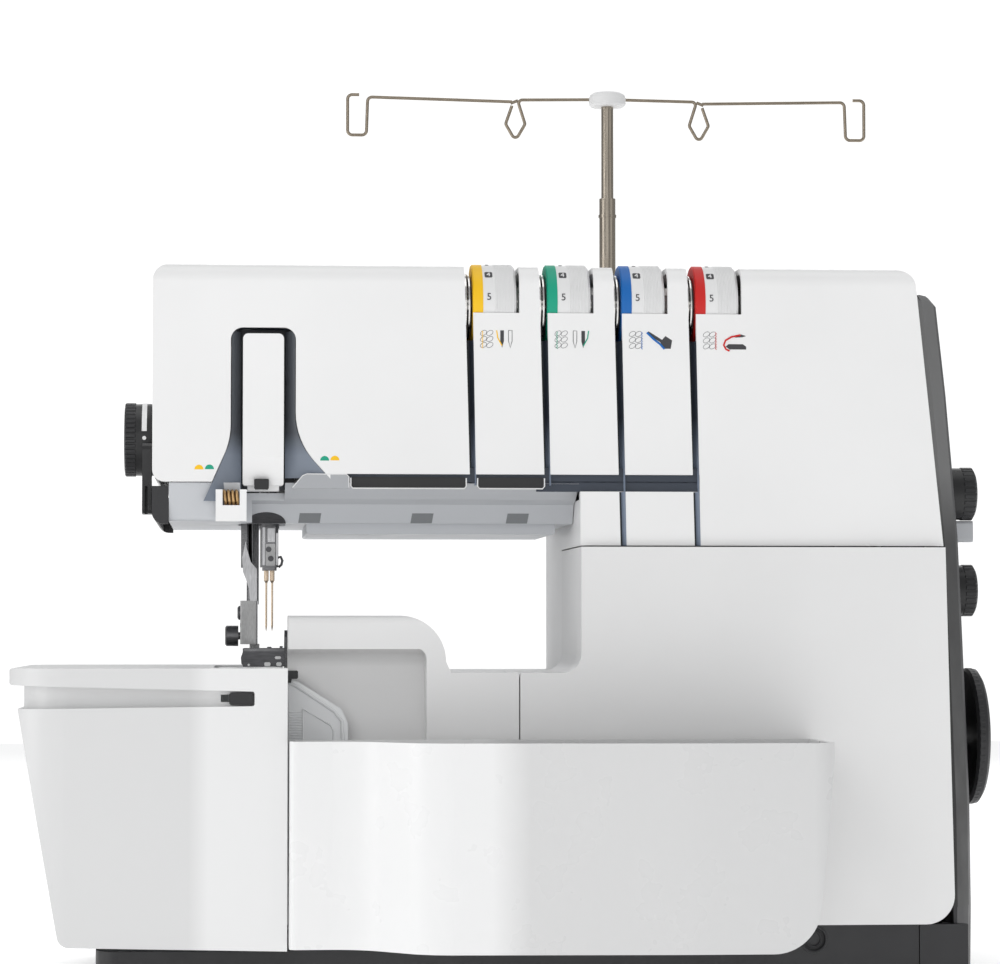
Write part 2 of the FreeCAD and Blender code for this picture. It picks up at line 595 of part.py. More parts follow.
def thread_tree():
    """Telescopic pole with the disc and the wire guides."""
    x, y = TREE_X, TREE_Y
    base = ring("xy", x, y, STAND_BOTTOM + 3, POLE_BASE_TOP, 5.0, MIDDLE_RADIUS + RUNNING_FIT)
    save("pole_base_tube", base)
    middle = ring("xy", x, y, MIDDLE_LOW, MIDDLE_TOP, MIDDLE_RADIUS, ROD_RADIUS + RUNNING_FIT)
    crimp = ring("xy", x, y, MIDDLE_TOP - 9, MIDDLE_TOP - 7.6, MIDDLE_RADIUS + 0.4, MIDDLE_RADIUS - 0.3)
    save("pole_middle", fuse([middle, crimp]))
    save("pole_top", rod("xy", x, y, ROD_LOW, ROD_TOP, ROD_RADIUS))
    bore = ROD_RADIUS + RUNNING_FIT
    disc = turned("xy", x, y, [(DISC_LOW, bore), (DISC_LOW, 7.6), (DISC_LOW + 1.0, 8.6), (DISC_LOW + 4.0, 8.8),
                               (DISC_TOP - 1.0, 8.2), (DISC_TOP, 6.8), (DISC_TOP, 0.0),
                               (ROD_TOP + 0.2, 0.0), (ROD_TOP + 0.2, bore)])
    slots = [box(x + a, x + b, y - 0.8, y + 0.8, WIRE_Z - 0.8, WIRE_Z + 0.8) for a, b in ((-10, -4), (4, 10))]
    save("guide_disc", cut(disc, slots))


WIRE_Z = 396.0
WIRE_RADIUS = 0.75


def wire(points, bend):
    """Round wire through the points in the plane of the stand, with tangent bends."""
    corners = [V(x, TREE_Y, z) for x, z in points]
    edges = []
    start = corners[0]
    for i in range(1, len(corners) - 1):
        corner = corners[i]
        back = (corners[i - 1] - corner).normalize()
        on = (corners[i + 1] - corner).normalize()
        half = back.getAngle(on) / 2
        reach = bend / math.tan(half)
        middle = corner + (back + on).normalize() * (bend / math.sin(half) - bend)
        edges.append(Part.makeLine(start, corner + back * reach))
        edges.append(Part.Arc(corner + back * reach, middle, corner + on * reach).toShape())
        start = corner + on * reach
    edges.append(Part.makeLine(start, corners[-1]))
    path = Part.Wire(edges)
    direction = (corners[1] - corners[0]).normalize()
    section = Part.Wire(Part.makeCircle(WIRE_RADIUS, corners[0], direction))
    return path.makePipeShell([section], True, False)


def guide_wires():
    """Two wires, each with a drop-shaped inner loop and a long outer hook."""
    solids = []
    for side in (-1, 1):
        arm = [(5.0, WIRE_Z), (INNER_PIN - 1.0, WIRE_Z - 0.6), (INNER_PIN - 4.6, WIRE_Z - 12),
               (INNER_PIN, WIRE_Z - 20.0), (INNER_PIN + 4.6, WIRE_Z - 12), (INNER_PIN + 1.6, WIRE_Z - 3.4)]
        rail = [(INNER_PIN + 1.6, WIRE_Z - 1.5), (OUTER_PIN - 5.0, WIRE_Z), (OUTER_PIN - 4.4, WIRE_Z - 18.0),
                (OUTER_PIN + 4.4, WIRE_Z - 18.0), (OUTER_PIN + 4.4, WIRE_Z + 1.0), (OUTER_PIN - 1.0, WIRE_Z + 1.0)]
        loop = wire([(TREE_X + side * x, z) for x, z in arm], 1.7)
        hook = wire([(TREE_X + side * x, z) for x, z in rail], 2.2)
        solids.append(fuse([loop, hook, rod_between(side)]))
    save("guide_wires", *solids)


def rod_between(side):
    """Straight piece that joins the loop to the rail."""
    x0 = INNER_PIN - 1.2
    x1 = INNER_PIN + 2.2
    start = V(TREE_X + side * x0, TREE_Y, WIRE_Z - 0.9)
    end = V(TREE_X + side * x1, TREE_Y, WIRE_Z - 2.2)
    return Part.makeCylinder(WIRE_RADIUS, (end - start).Length, start, end - start)


# ---- drive --------------------------------------------------------------------------------
HANDWHEEL_RADIUS = 29.5
HANDWHEEL_LEFT = 197.2


def handwheel():
    """Domed wheel on the end of the main shaft."""
    radius = HANDWHEEL_RADIUS
    profile = [(HANDWHEEL_LEFT, SHAFT_RADIUS), (HANDWHEEL_LEFT, radius - 1.2), (HANDWHEEL_LEFT + 1.2, radius),
               (201.8, radius - 0.3), (203.2, radius - 2.5), (204.1, 20.0), (WHEEL_RIGHT, 8.0),
               (WHEEL_RIGHT, 0.0), (201.5, 0.0), (201.5, SHAFT_RADIUS)]
    save("handwheel", turned("yz", SHAFT_Y, SHAFT_Z, profile))


def main_shaft():
    """Main shaft with its belt pulley and the eccentrics that drive the loopers and knife."""
    pieces = [rod("yz", SHAFT_Y, SHAFT_Z, -68.0, 201.5, SHAFT_RADIUS)]
    pieces.append(rod("yz", SHAFT_Y, SHAFT_Z, PULLEY_LEFT, PULLEY_RIGHT, MAIN_PULLEY))
    for x in (PULLEY_LEFT - 1.0, PULLEY_RIGHT):
        pieces.append(rod("yz", SHAFT_Y, SHAFT_Z, x, x + 1.0, MAIN_PULLEY + 3))
    for x, turn in ((-52.0, 0.0), (-34.0, 120.0), (-8.0, 240.0)):
        y = SHAFT_Y + 3.0 * math.cos(math.radians(turn))
        z = SHAFT_Z + 3.0 * math.sin(math.radians(turn))
        pieces.append(rod("yz", y, z, x, x + 7.0, 10.5))
    save("main_shaft", fuse(pieces))


def motor_rotor():
    """Motor shaft with its small belt pulley."""
    pieces = [rod("yz", MOTOR_Y, MOTOR_Z, 122.0, 169.0, 3.0)]
    pieces.append(rod("yz", MOTOR_Y, MOTOR_Z, PULLEY_LEFT, PULLEY_RIGHT, MOTOR_PULLEY))
    for x in (PULLEY_LEFT - 1.0, PULLEY_RIGHT):
        pieces.append(rod("yz", MOTOR_Y, MOTOR_Z, x, x + 1.0, MOTOR_PULLEY + 3))
    save("motor_rotor", fuse(pieces))


# ---- dials, knobs and the side lever ------------------------------------------------------
def dial_x(number):
    return DIAL_LEFT + number * DIAL_PITCH


def tension_dials():
    """Four thread tension wheels that show through the top of the front cover."""
    for number, colour in enumerate(DIAL_COLOURS):
        left = dial_x(number)
        bore = SPINDLE_RADIUS + RUNNING_FIT
        profile = [(left, bore), (left, DIAL_RADIUS - 0.4), (left + 0.4, DIAL_RADIUS),
                   (left + DIAL_WIDTH - 1.0, DIAL_RADIUS), (left + DIAL_WIDTH, DIAL_RADIUS - 1.0),
                   (left + DIAL_WIDTH, bore)]
        save("tension_dial_" + colour, turned("yz", DIAL_Y, DIAL_Z, profile))


def tension_parts():
    """Spindles on a cross bar, and a pair of tension discs at the left of each dial."""
    pieces = [box(-30, 100, -36.0, -33.0, 262.0, 292.0), box(60, 80, -36.0, 50.0, 262.0, 266.0),
              box(60, 80, 48.0, 50.0, 246.0, 266.0)]
    discs = []
    for number in range(len(DIAL_COLOURS)):
        left = dial_x(number)
        right = left + DIAL_WIDTH
        pieces.append(rod("yz", DIAL_Y, DIAL_Z, left - 3.2, right + 3.0, SPINDLE_RADIUS))
        pieces.append(box(right + 1.6, right + 4.2, DIAL_Y - 4, -33.0, DIAL_Z - 5, DIAL_Z + 5))
        for start in (left - 2.6, left - 1.2):
            disc = turned("yz", DIAL_Y, DIAL_Z, [(start, SPINDLE_RADIUS), (start, 10.0), (start - 0.5, 13.5),
                                                 (start + 0.1, 13.5), (start + 0.6, 10.0),
                                                 (start + 0.6, SPINDLE_RADIUS)])
            discs.append(disc)
    save("tension_units", fuse(pieces), *discs)


PRESSURE_Y = -20.0
PRESSURE_Z = 227.0


def pressure_dial():
    """Ribbed knob on the left end that sets the presser foot pressure."""
    profile = [(-166.8, 0.0), (-166.8, 13.6), (-165.4, 15.2), (-156.0, 15.4), (-154.4, 15.2),
               (-154.4, 4.0), (-138.0, 4.0), (-138.0, 0.0)]
    save("pressure_dial", turned("yz", PRESSURE_Y, PRESSURE_Z, profile))


def side_knob(name, z, left, right, radius):
    """Small knob on the end cover with its spindle through the wall."""
    profile = [(176.0, 0.0), (176.0, SPINDLE_RADIUS), (left, SPINDLE_RADIUS), (left, radius),
               (right - 1.5, radius), (right, radius - 1.5), (right, 0.0)]
    save(name, turned("yz", KNOB_Y, z, profile))


def side_lever():
    """Light grey tab lever below the upper knob; it tips up and down."""
    tab = rounded_box("yz", KNOB_Y - 3.4, KNOB_Y + 3.4, LEVER_Z - 4.6, LEVER_Z + 4.6, 1.5, 184.0, 200.7)
    save("side_lever", fuse([tab, rod("xz", 182.0, LEVER_Z, KNOB_Y - 7, KNOB_Y + 7, 2.5)]))


def power_switch():
    """Rocker in the end cover."""
    shape = prism("xz", [(197.4, 60.0), (199.8, 60.0), (198.2, 69.0), (199.0, 78.0), (197.4, 78.0),
                         (192.0, 74.0), (192.0, 64.0)], 46.0, 60.0)
    save("power_switch", shape.cut(rod("xz", 194.0, 69.0, 40, 70, 1.2)))


# ---- needle bar, presser foot, take-up ----------------------------------------------------
CLAMP_LOW = 171.0
CLAMP_HIGH = 186.0
NEEDLE_TIP = 145.2
NEEDLE_XS = (-106.7, -104.2)


def needle_bar():
    save("needle_bar", rod("xy", NEEDLE_X, NEEDLE_Y, CLAMP_LOW + 6, 286.0, BAR_RADIUS))


def needle_clamp():
    """Clamp block with two set screws in front, and a small thread hook at the right."""
    block = rounded_box("xy", -109.0, -101.3, NEEDLE_Y - 6.5, NEEDLE_Y + 5.5, 1.5, CLAMP_LOW, CLAMP_HIGH)
    collar = rod("xy", NEEDLE_X, NEEDLE_Y, CLAMP_HIGH - 1, CLAMP_HIGH + 3, 4.8)
    hook = fuse([box(-102.0, -99.6, NEEDLE_Y - 5, NEEDLE_Y - 4, CLAMP_LOW + 0.5, CLAMP_LOW + 1.7),
                 box(-100.6, -99.6, NEEDLE_Y - 5, NEEDLE_Y - 4, CLAMP_LOW + 0.5, CLAMP_LOW + 5.0)])
    tools = [rod("xy", NEEDLE_X, NEEDLE_Y, CLAMP_LOW + 6, CLAMP_HIGH + 5, BAR_RADIUS)]
    tools += [rod("xy", x, NEEDLE_Y, CLAMP_LOW - 1, CLAMP_LOW + 5.9, 1.0) for x in NEEDLE_XS]
    for x, z in SET_SCREWS:
        tools.append(rod("xz", x, z, NEEDLE_Y - 8, NEEDLE_Y - 4.5, 1.5))
    save("needle_clamp", cut(fuse([block, collar, hook]), tools))


SET_SCREWS = [(-106.0, CLAMP_LOW + 8.2), (-104.8, CLAMP_LOW + 4.4)]


def needles():
    pins = []
    for x in NEEDLE_XS:
        profile = [(NEEDLE_TIP, 0.0), (NEEDLE_TIP + 2.5, 0.45), (CLAMP_LOW - 5, 0.45), (CLAMP_LOW - 4, 1.0),
                   (CLAMP_LOW + 5.9, 1.0), (CLAMP_LOW + 5.9, 0.0)]
        pins.append(turned("xy", x, NEEDLE_Y, profile))
    save("needles", *pins)


SHANK_LOW = 139.7
SHANK_HIGH = 158.6
FOOT_PIN_Z = 136.4


def presser_bar():
    """Presser bar with the bent steel guard plate that runs down to the foot shank."""
    bar = rod("xy", PRESSER_X, PRESSER_Y, SHANK_HIGH - 2, 284.0, BAR_RADIUS)
    guard = prism("xz", [(-115.8, 196.0), (-110.2, 196.0), (-110.2, SHANK_HIGH), (-112.8, SHANK_HIGH),
                         (-113.4, 172.0, 8.0), (-115.8, 179.0, 6.0)], PRESSER_Y - 6.0, PRESSER_Y - 4.6)
    bridge = box(-114.6, -110.4, PRESSER_Y - 5.5, PRESSER_Y, 186.0, 194.0)
    save("presser_bar", fuse([bar, guard, bridge]))


def foot_shank():
    """Block clamped on the presser bar, with the tongue that carries the foot."""
    block = rounded_box("xz", -115.3, -107.2, SHANK_LOW, SHANK_HIGH, 0.6, PRESSER_Y - 7.0, PRESSER_Y + 7.0)
    tongue = box(-113.6, -108.9, PRESSER_Y - 3.6, PRESSER_Y + 3.6, FOOT_PIN_Z - 3.0, SHANK_LOW + 1)
    tools = [rod("xy", PRESSER_X, PRESSER_Y, SHANK_HIGH - 2, 170, BAR_RADIUS)]
    tools.append(rod("yz", PRESSER_Y, FOOT_PIN_Z, -120, -100, FOOT_PIN_RADIUS + RUNNING_FIT))
    save("foot_shank", cut(fuse([block, tongue]), tools))


FOOT_PIN_RADIUS = 1.2
FOOT_BOTTOM = 130.5
FOOT_LEFT = -116.5
FOOT_RIGHT = -99.9


def presser_foot():
    """Dark foot: sole with a raised toe, two side walls, and the pin that it tips on."""
    sole = prism("yz", [(-9.5, FOOT_BOTTOM + 1.6), (-11.5, FOOT_BOTTOM), (-50.0, FOOT_BOTTOM),
                        (-62.0, FOOT_BOTTOM + 3.4), (-62.0, FOOT_BOTTOM + 5.0), (-50.0, FOOT_BOTTOM + 2.2),
                        (-9.5, FOOT_BOTTOM + 2.2)], FOOT_LEFT, FOOT_RIGHT)
    wall = [(-10.0, FOOT_BOTTOM + 1.0), (-44.0, FOOT_BOTTOM + 1.0), (-40.0, 138.3, 2.0), (-10.5, 138.3, 2.0)]
    walls = [prism("yz", wall, FOOT_LEFT, FOOT_LEFT + 2.4), prism("yz", wall, -108.2, -106.9)]
    rail = [(-24.0, FOOT_BOTTOM + 1.0), (-44.0, FOOT_BOTTOM + 1.0), (-41.0, 138.3, 2.0), (-26.0, 138.3, 2.0)]
    walls.append(prism("yz", rail, FOOT_RIGHT - 1.6, FOOT_RIGHT))
    front = box(FOOT_LEFT, FOOT_RIGHT, -44.0, -42.4, FOOT_BOTTOM + 1.5, 137.0)
    shape = fuse([sole, front] + walls)
    tools = [rounded_box("xy", -108.2, -102.4, NEEDLE_Y - 4.0, NEEDLE_Y + 4.0, 1.5, 120, 145)]
    for x in (-114.0, -111.0, -108.0, -105.0):
        tools.append(rounded_box("xz", x, x + 1.6, 133.6, 135.4, 0.6, -45, -42))
    for left in FEED_ROWS:
        tools.append(box(left - 0.4, left + FEED_WIDTH + 0.4, -27.0, 7.0, 120, FOOT_BOTTOM + 0.6))
    shape = cut(shape, tools)
    pin = rod("yz", PRESSER_Y, FOOT_PIN_Z, FOOT_LEFT, -106.9, FOOT_PIN_RADIUS)
    save("presser_foot", fuse([shape, pin]))


def foot_screws():
    """Knurled screw and two small screws at the left of the shank."""
    knurled = turned("yz", PRESSER_Y, 143.6, [(-115.3, 0.0), (-115.3, 1.6), (-118.4, 1.6), (-118.4, 4.4),
                                              (-123.4, 4.4), (-124.0, 3.6), (-124.0, 0.0)])
    upper = turned("yz", PRESSER_Y, 153.4, [(-115.3, 0.0), (-115.3, 1.4), (-116.6, 1.4), (-116.6, 3.0),
                                            (-118.2, 3.0), (-118.8, 2.2), (-118.8, 0.0)])
    lower = turned("yz", PRESSER_Y - 5.0, 148.2, [(-115.3, 0.0), (-115.3, 1.8), (-117.6, 1.8), (-117.6, 0.0)])
    save("foot_screws", knurled, upper, lower)


LIFTER_X = -120.0
LIFTER_Y = 61.0
LIFTER_Z = 224.0


def presser_lifter():
    """Lever at the back of the arm that raises the presser foot."""
    hub = rod("yz", LIFTER_Y, LIFTER_Z, LIFTER_X - 4, LIFTER_X + 4, 6.0)
    arm = prism("yz", [(LIFTER_Y - 3, LIFTER_Z - 4), (LIFTER_Y + 8, LIFTER_Z - 5), (98.0, 209.5, 2.5),
                       (100.0, 214.5, 2.5), (LIFTER_Y + 8, LIFTER_Z + 3), (LIFTER_Y, LIFTER_Z + 5)],
                LIFTER_X - 3.5, LIFTER_X + 3.5)
    save("presser_lifter", fuse([hub, arm]).cut(rod("yz", LIFTER_Y, LIFTER_Z, -130, -110, 2.5 + RUNNING_FIT)))


def pivot_pins():
    """Steel pins that the lifter, loopers and upper knife turn on."""
    pins = [rod("yz", LIFTER_Y, LIFTER_Z, LIFTER_X - 8, LIFTER_X + 8, 2.5)]
    for x, z in LOOPER_PINS:
        pins.append(rod("xz", x, z, -50.0, -15.0, 3.0))
    pins.append(rod("yz", KNIFE_Y, KNIFE_Z, -99.6, -80.0, 3.0))
    save("pivot_pins", *pins)


def take_up_lever():
    """Rocking arm shaft with the two take-up blades in the slot of the front cover."""
    pieces = [rod("yz", TAKE_UP_Y, TAKE_UP_Z, -126.0, -88.0, TAKE_UP_RADIUS)]
    blade = [(TAKE_UP_Y + 4, TAKE_UP_Z - 5, 2.0), (-58.0, 226.0, 3.0), (-66.5, 233.0, 2.0),
             (-67.5, 258.0, 3.0), (-60.0, 260.0, 3.0), (TAKE_UP_Y + 4, TAKE_UP_Z + 6, 2.0)]
    for x in (-120.5, -99.2):
        pieces.append(prism("yz", blade, x, x + 2.2))
    save("take_up_lever", fuse(pieces))


# ---- knife, loopers, feed dog -------------------------------------------------------------
def upper_knife():
    """Moving blade on its rocking arm."""
    blade = prism("yz", [(-44.0, 116.0), (-44.0, 143.0), (-41.0, 146.0), (-34.0, 141.0, 2.0),
                         (-34.0, 116.0)], -99.2, -97.4)
    arm = prism("yz", [(-46.0, 108.0, 3.0), (-46.0, 118.0, 3.0), (6.0, 117.0, 4.0), (6.0, 107.0, 4.0)],
                -99.2, -97.4)
    hub = rod("yz", KNIFE_Y, KNIFE_Z, -99.2, -90.0, 6.0)
    shape = fuse([blade, arm, hub])
    save("upper_knife", shape.cut(rod("yz", KNIFE_Y, KNIFE_Z, -110, -80, 3.0 + RUNNING_FIT)))


def looper(name, pin, y, points):
    """Curved steel looper arm with its hub on a pin."""
    x, z = pin
    arm = prism("xz", points, y, y + 3.5)
    hub = rod("xz", x, z, y - 1, y + 5, 7.0)
    save(name, fuse([arm, hub]).cut(rod("xz", x, z, y - 10, y + 10, 3.0 + RUNNING_FIT)))


def feed_dog():
    """Toothed feed rows on a carriage under the needle plate."""
    pieces = [box(-120.5, -110.5, -32.0, 12.0, 114.0, 120.0)]
    for left in FEED_ROWS:
        teeth = [(-24.0, 118.0)]
        for i in range(14):
            teeth.append((-24.0 + i * 2.0, 129.4))
            teeth.append((-22.0 + i * 2.0, 128.4))
        teeth.append((4.0, 118.0))
        pieces.append(prism("yz", teeth, left, left + FEED_WIDTH))
    save("feed_dog", fuse(pieces))


# ---- covers that open, table and tray -----------------------------------------------------
COVER_LEFT = -98.2
COVER_RIGHT = -3.5
COVER_BACK = -58.0
COVER_LOW = 26.0
ARCH_TOP = 152.0
HINGE_Y = -79.0
HINGE_Z = 28.0


def looper_cover():
    """White cover over the loopers with the scooped waste chute."""
    front = [(COVER_LEFT, COVER_LOW), (COVER_LEFT, ARCH_TOP), (-33.5, ARCH_TOP, 19.0), (-33.5, 133.0),
             (-31.5, 128.6), (COVER_RIGHT, 128.6, 1.0), (COVER_RIGHT, COVER_LOW)]
    side = [(PANEL_FRONT, COVER_LOW), (PANEL_FRONT, ARCH_TOP, 4.0), (COVER_BACK, ARCH_TOP, 2.0),
            (COVER_BACK, COVER_LOW)]
    shape = common(prism("xz", front, PANEL_FRONT, COVER_BACK), prism("yz", side, -120, 20))
    scoop_side = [(PANEL_FRONT - 9, 139.5), (PANEL_FRONT + 17, 136.0, 6.0), (PANEL_FRONT + 18.5, 118.0, 40.0),
                  (PANEL_FRONT + 3.0, 60.0, 40.0), (PANEL_FRONT - 0.5, 44.0), (PANEL_FRONT - 9, 44.0)]
    scoop_front = [(-120.0, 40.0), (-120.0, 138.6), (-41.5, 138.6, 4.5), (-41.5, 40.0)]
    scoop = common(prism("yz", scoop_side, -120, 0), prism("xz", scoop_front, -110, 0))
    hollow = box(-37.5, COVER_RIGHT - WALL, PANEL_FRONT + WALL, COVER_BACK + 1, COVER_LOW + 3, BED_TOP - WALL)
    pocket = box(COVER_LEFT + 3, -41.5, PANEL_FRONT + WALL + 3, COVER_BACK + 1, COVER_LOW + 3, 56.0)
    hinge = rod("yz", HINGE_Y, HINGE_Z, COVER_LEFT, COVER_RIGHT, 1.8)
    save("looper_cover", fuse([cut(shape, [scoop, hollow, pocket]), hinge]))


def chute_insert():
    """Clear ribbed deflector at the left of the scoop."""
    front = [(COVER_LEFT + 0.2, 62.0), (COVER_LEFT + 0.2, 126.5, 1.0), (-93.5, 124.5), (-76.0, 113.5, 3.0),
             (-73.5, 108.0, 3.0), (-73.5, 62.0)]
    side = [(PANEL_FRONT + 14.0, 127.0), (PANEL_FRONT + 11.6, 127.0), (PANEL_FRONT + 1.2, 62.0),
            (PANEL_FRONT + 3.2, 62.0)]
    plate = common(prism("xz", front, -90, -50), prism("yz", side, -120, 0))
    save("chute_insert", plate)


TABLE_RIGHT = -98.7
TABLE_BOTTOM = 17.0


def table_block(inset):
    """The table's rounded plan, drawn in by an inset."""
    plan = [(-80.0, TABLE_FRONT + inset), (LIP_LEFT + inset, TABLE_FRONT + inset, 24.0 - inset),
            (LIP_LEFT + inset, TABLE_BACK - inset, 22.0 - inset), (-80.0, TABLE_BACK - inset)]
    return prism("xy", plan, 0, 140)


def extension_table():
    """Hollow box that slips over the free arm; open below and at the right."""
    front = [(TABLE_RIGHT, TABLE_BOTTOM), (TABLE_RIGHT, TABLE_TOP), (LIP_LEFT, TABLE_TOP, 1.5),
             (LIP_LEFT, 124.4, 1.0), (-209.0, 123.2), (-190.0, TABLE_BOTTOM + 2.0, 5.0)]
    inner = [(-80.0, 5.0), (-80.0, TABLE_TOP - WALL), (-206.0, TABLE_TOP - WALL), (-206.0, 122.0),
             (-188.0, 5.0)]
    outer = common(prism("xz", front, -160, 160), table_block(0))
    inside = common(prism("xz", inner, -160, 160), table_block(WALL))
    backing = prism("xz", [(-215.0, 111.5), (-106.0, 111.5), (-106.0, 126.5), (-215.0, 126.5)], -160, 0)
    backing = common(backing, outer).cut(table_block(8.5))
    shape = fuse([outer.cut(inside), backing])
    groove = prism("xz", [(-215.0, 114.2), (-112.0, 115.4, 1.0), (-112.0, 121.3, 1.0), (-215.0, 123.9)], -160, 0)
    tools = [groove.cut(table_block(6.0))]
    tools.append(rounded_box("xy", -128.5, -80.0, -72.5, 28.5, 3.0, 120, 140))
    tools.append(box(-125.6, -113.4, -96, -88, 117.0, 120.0))
    save("extension_table", cut(shape, tools))


def table_latch():
    """Black slide in the finger groove; it frees the table."""
    button = rounded_box("xz", -121.0, -112.4, 115.9, 120.8, 0.6, -98.6, -94.2)
    save("table_latch", fuse([button, box(-119.0, -114.0, -94.6, -89.0, 117.2, 119.8)]))


TRAY_LEFT = -98.0
TRAY_RIGHT = 118.6
TRAY_RIM = 101.3
TRAY_BOTTOM = 18.2
TRAY_BACK = -84.5


def tray_block(inset, floor):
    """Tray outline: its front steps forward, its right side leans out."""
    front_left = -107.0 + inset
    front_step = -134.0 + inset
    plan = [(TRAY_LEFT + inset, TRAY_BACK - inset), (TRAY_LEFT + inset, front_left, 3.0),
            (-70.0, front_left, 26.0), (-44.0 + inset / 2, front_step, 26.0),
            (60.0, -HALF_DEPTH + inset, 200.0), (TRAY_RIGHT - inset, -HALF_DEPTH + inset, 9.0 - inset),
            (TRAY_RIGHT - inset, TRAY_BACK - inset)]
    side = [(TRAY_LEFT + inset, floor), (TRAY_LEFT + inset, TRAY_RIM + inset),
            (TRAY_RIGHT - inset, TRAY_RIM + inset), (109.6 - inset, floor, 19.0 - inset)]
    return common(prism("xy", plan, 0, 130), prism("xz", side, -160, -60))


def waste_tray():
    tray = tray_block(0.0, TRAY_BOTTOM)
    room = tray_block(WALL, TRAY_BOTTOM + WALL)
    save("waste_tray", tray.cut(room))


def cover_screws():
    """Pan head screws on the rear cover and the spool stand arms."""
    screws = []
    places = [(-140.0, 280.0), (-140.0, 215.0), (30.0, 288.0), (150.0, 284.0), (165.0, 40.0), (36.0, 40.0)]
    for x, z in places:
        screws.append(turned("xz", x, z, [(BODY_BACK, 0.0), (BODY_BACK, 4.0), (BODY_BACK + 1.6, 3.4),
                                          (BODY_BACK + 2.4, 0.0)]))
    for x in (-20.0, 130.0):
        for dx in (-11.0, 11.0):
            screws.append(turned("xz", x + dx, STAND_TOP + 9, [(BODY_BACK + 3, 0.0), (BODY_BACK + 3, 2.6),
                                                      (BODY_BACK + 4.6, 2.2), (BODY_BACK + 5, 0.0)]))
    save("cover_screws", *screws)


def main():
    os.makedirs("parts", exist_ok=True)
    base_frame()
    rubber_feet()
    chassis_casting()
    front_upper_cover()
    rear_cover()
    front_lower_panel()
    right_end_cover()
    left_corner_trim()
    arm_under_panel()
    thread_path_liner()
    take_up_cover()
    needle_thread_guide()
    thread_cutter()
    needle_plate()
    lower_knife()
    plain_bearings()
    pivot_pins()
    cover_screws()
    power_inlet()
    power_switch()
    spool_stand()
    spool_pins()
    spool_cushions()
    thread_tree()
    guide_wires()
    motor_body()
    motor_rotor()
    main_shaft()
    drive_belt()
    handwheel()
    tension_dials()
    tension_parts()
    pressure_dial()
    side_knob("differential_dial", DIFFERENTIAL_Z, 190.2, 201.4, 11.3)
    side_knob("stitch_length_dial", STITCH_Z, 192.4, 201.4, 11.0)
    side_lever()
    needle_bar()
    needle_clamp()
    needles()
    presser_bar()
    foot_shank()
    presser_foot()
    foot_screws()
    presser_lifter()
    take_up_lever()
    upper_knife()
    looper("lower_looper", LOOPER_PINS[0], -38.0,
           [(-64.0, 48.0), (-56.0, 48.0), (-60.0, 92.0, 10.0), (-74.0, 104.0, 10.0), (-93.5, 104.0),
            (-95.5, 101.5), (-76.0, 97.0, 8.0), (-66.0, 88.0, 8.0)])
    looper("upper_looper", LOOPER_PINS[1], -48.0,
           [(-40.0, 58.0), (-32.0, 58.0), (-38.0, 92.0, 14.0), (-60.0, 109.0, 14.0), (-86.0, 112.0),
            (-88.0, 109.5), (-62.0, 102.0, 10.0), (-46.0, 88.0, 10.0)])
    feed_dog()
    looper_cover()
    chute_insert()
    extension_table()
    table_latch()
    waste_tray()


main()
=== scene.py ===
import json
import math
import bmesh
import bpy
from mathutils import Matrix, Vector


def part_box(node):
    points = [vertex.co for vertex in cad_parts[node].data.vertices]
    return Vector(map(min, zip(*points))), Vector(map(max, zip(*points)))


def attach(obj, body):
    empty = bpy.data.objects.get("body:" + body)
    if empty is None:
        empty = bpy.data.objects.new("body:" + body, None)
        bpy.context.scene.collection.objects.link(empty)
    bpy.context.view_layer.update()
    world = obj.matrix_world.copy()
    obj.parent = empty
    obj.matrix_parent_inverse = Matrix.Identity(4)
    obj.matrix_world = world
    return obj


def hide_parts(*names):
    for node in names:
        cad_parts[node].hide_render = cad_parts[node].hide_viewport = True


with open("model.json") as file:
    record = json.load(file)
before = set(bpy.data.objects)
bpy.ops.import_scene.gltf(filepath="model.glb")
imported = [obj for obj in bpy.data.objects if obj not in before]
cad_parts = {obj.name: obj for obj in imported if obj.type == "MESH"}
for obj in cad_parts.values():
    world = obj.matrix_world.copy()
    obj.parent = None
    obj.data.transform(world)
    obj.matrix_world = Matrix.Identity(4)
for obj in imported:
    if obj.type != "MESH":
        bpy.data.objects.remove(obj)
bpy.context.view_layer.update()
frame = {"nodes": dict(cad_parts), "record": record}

# Serger overlock machine: the looks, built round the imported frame.
# X is the machine's width, the operator is at -Y, Z is up. The frame is in metres.
# The added pieces are drawn in millimetres; piece() scales them and moves them into the frame.

MM = 0.001
NODES = frame["nodes"]
GRAIN_DEPTH = 0.00005    # depth of the moulded grain, m
BRUSH_DEPTH = 0.00004    # depth of the fine lines in metal, m
RAMP_START = 0.35        # a ramp leaves its first colour here
RAMP_END = 0.65          # and reaches its second one here


def low(node):
    """Lowest corner of a node, in millimetres."""
    return Vector(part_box(node)[0]) / MM


def high(node):
    """Highest corner of a node, in millimetres."""
    return Vector(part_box(node)[1]) / MM


# ---- materials ----------------------------------------------------------------------------
def grey(value):
    return (value, value, value)


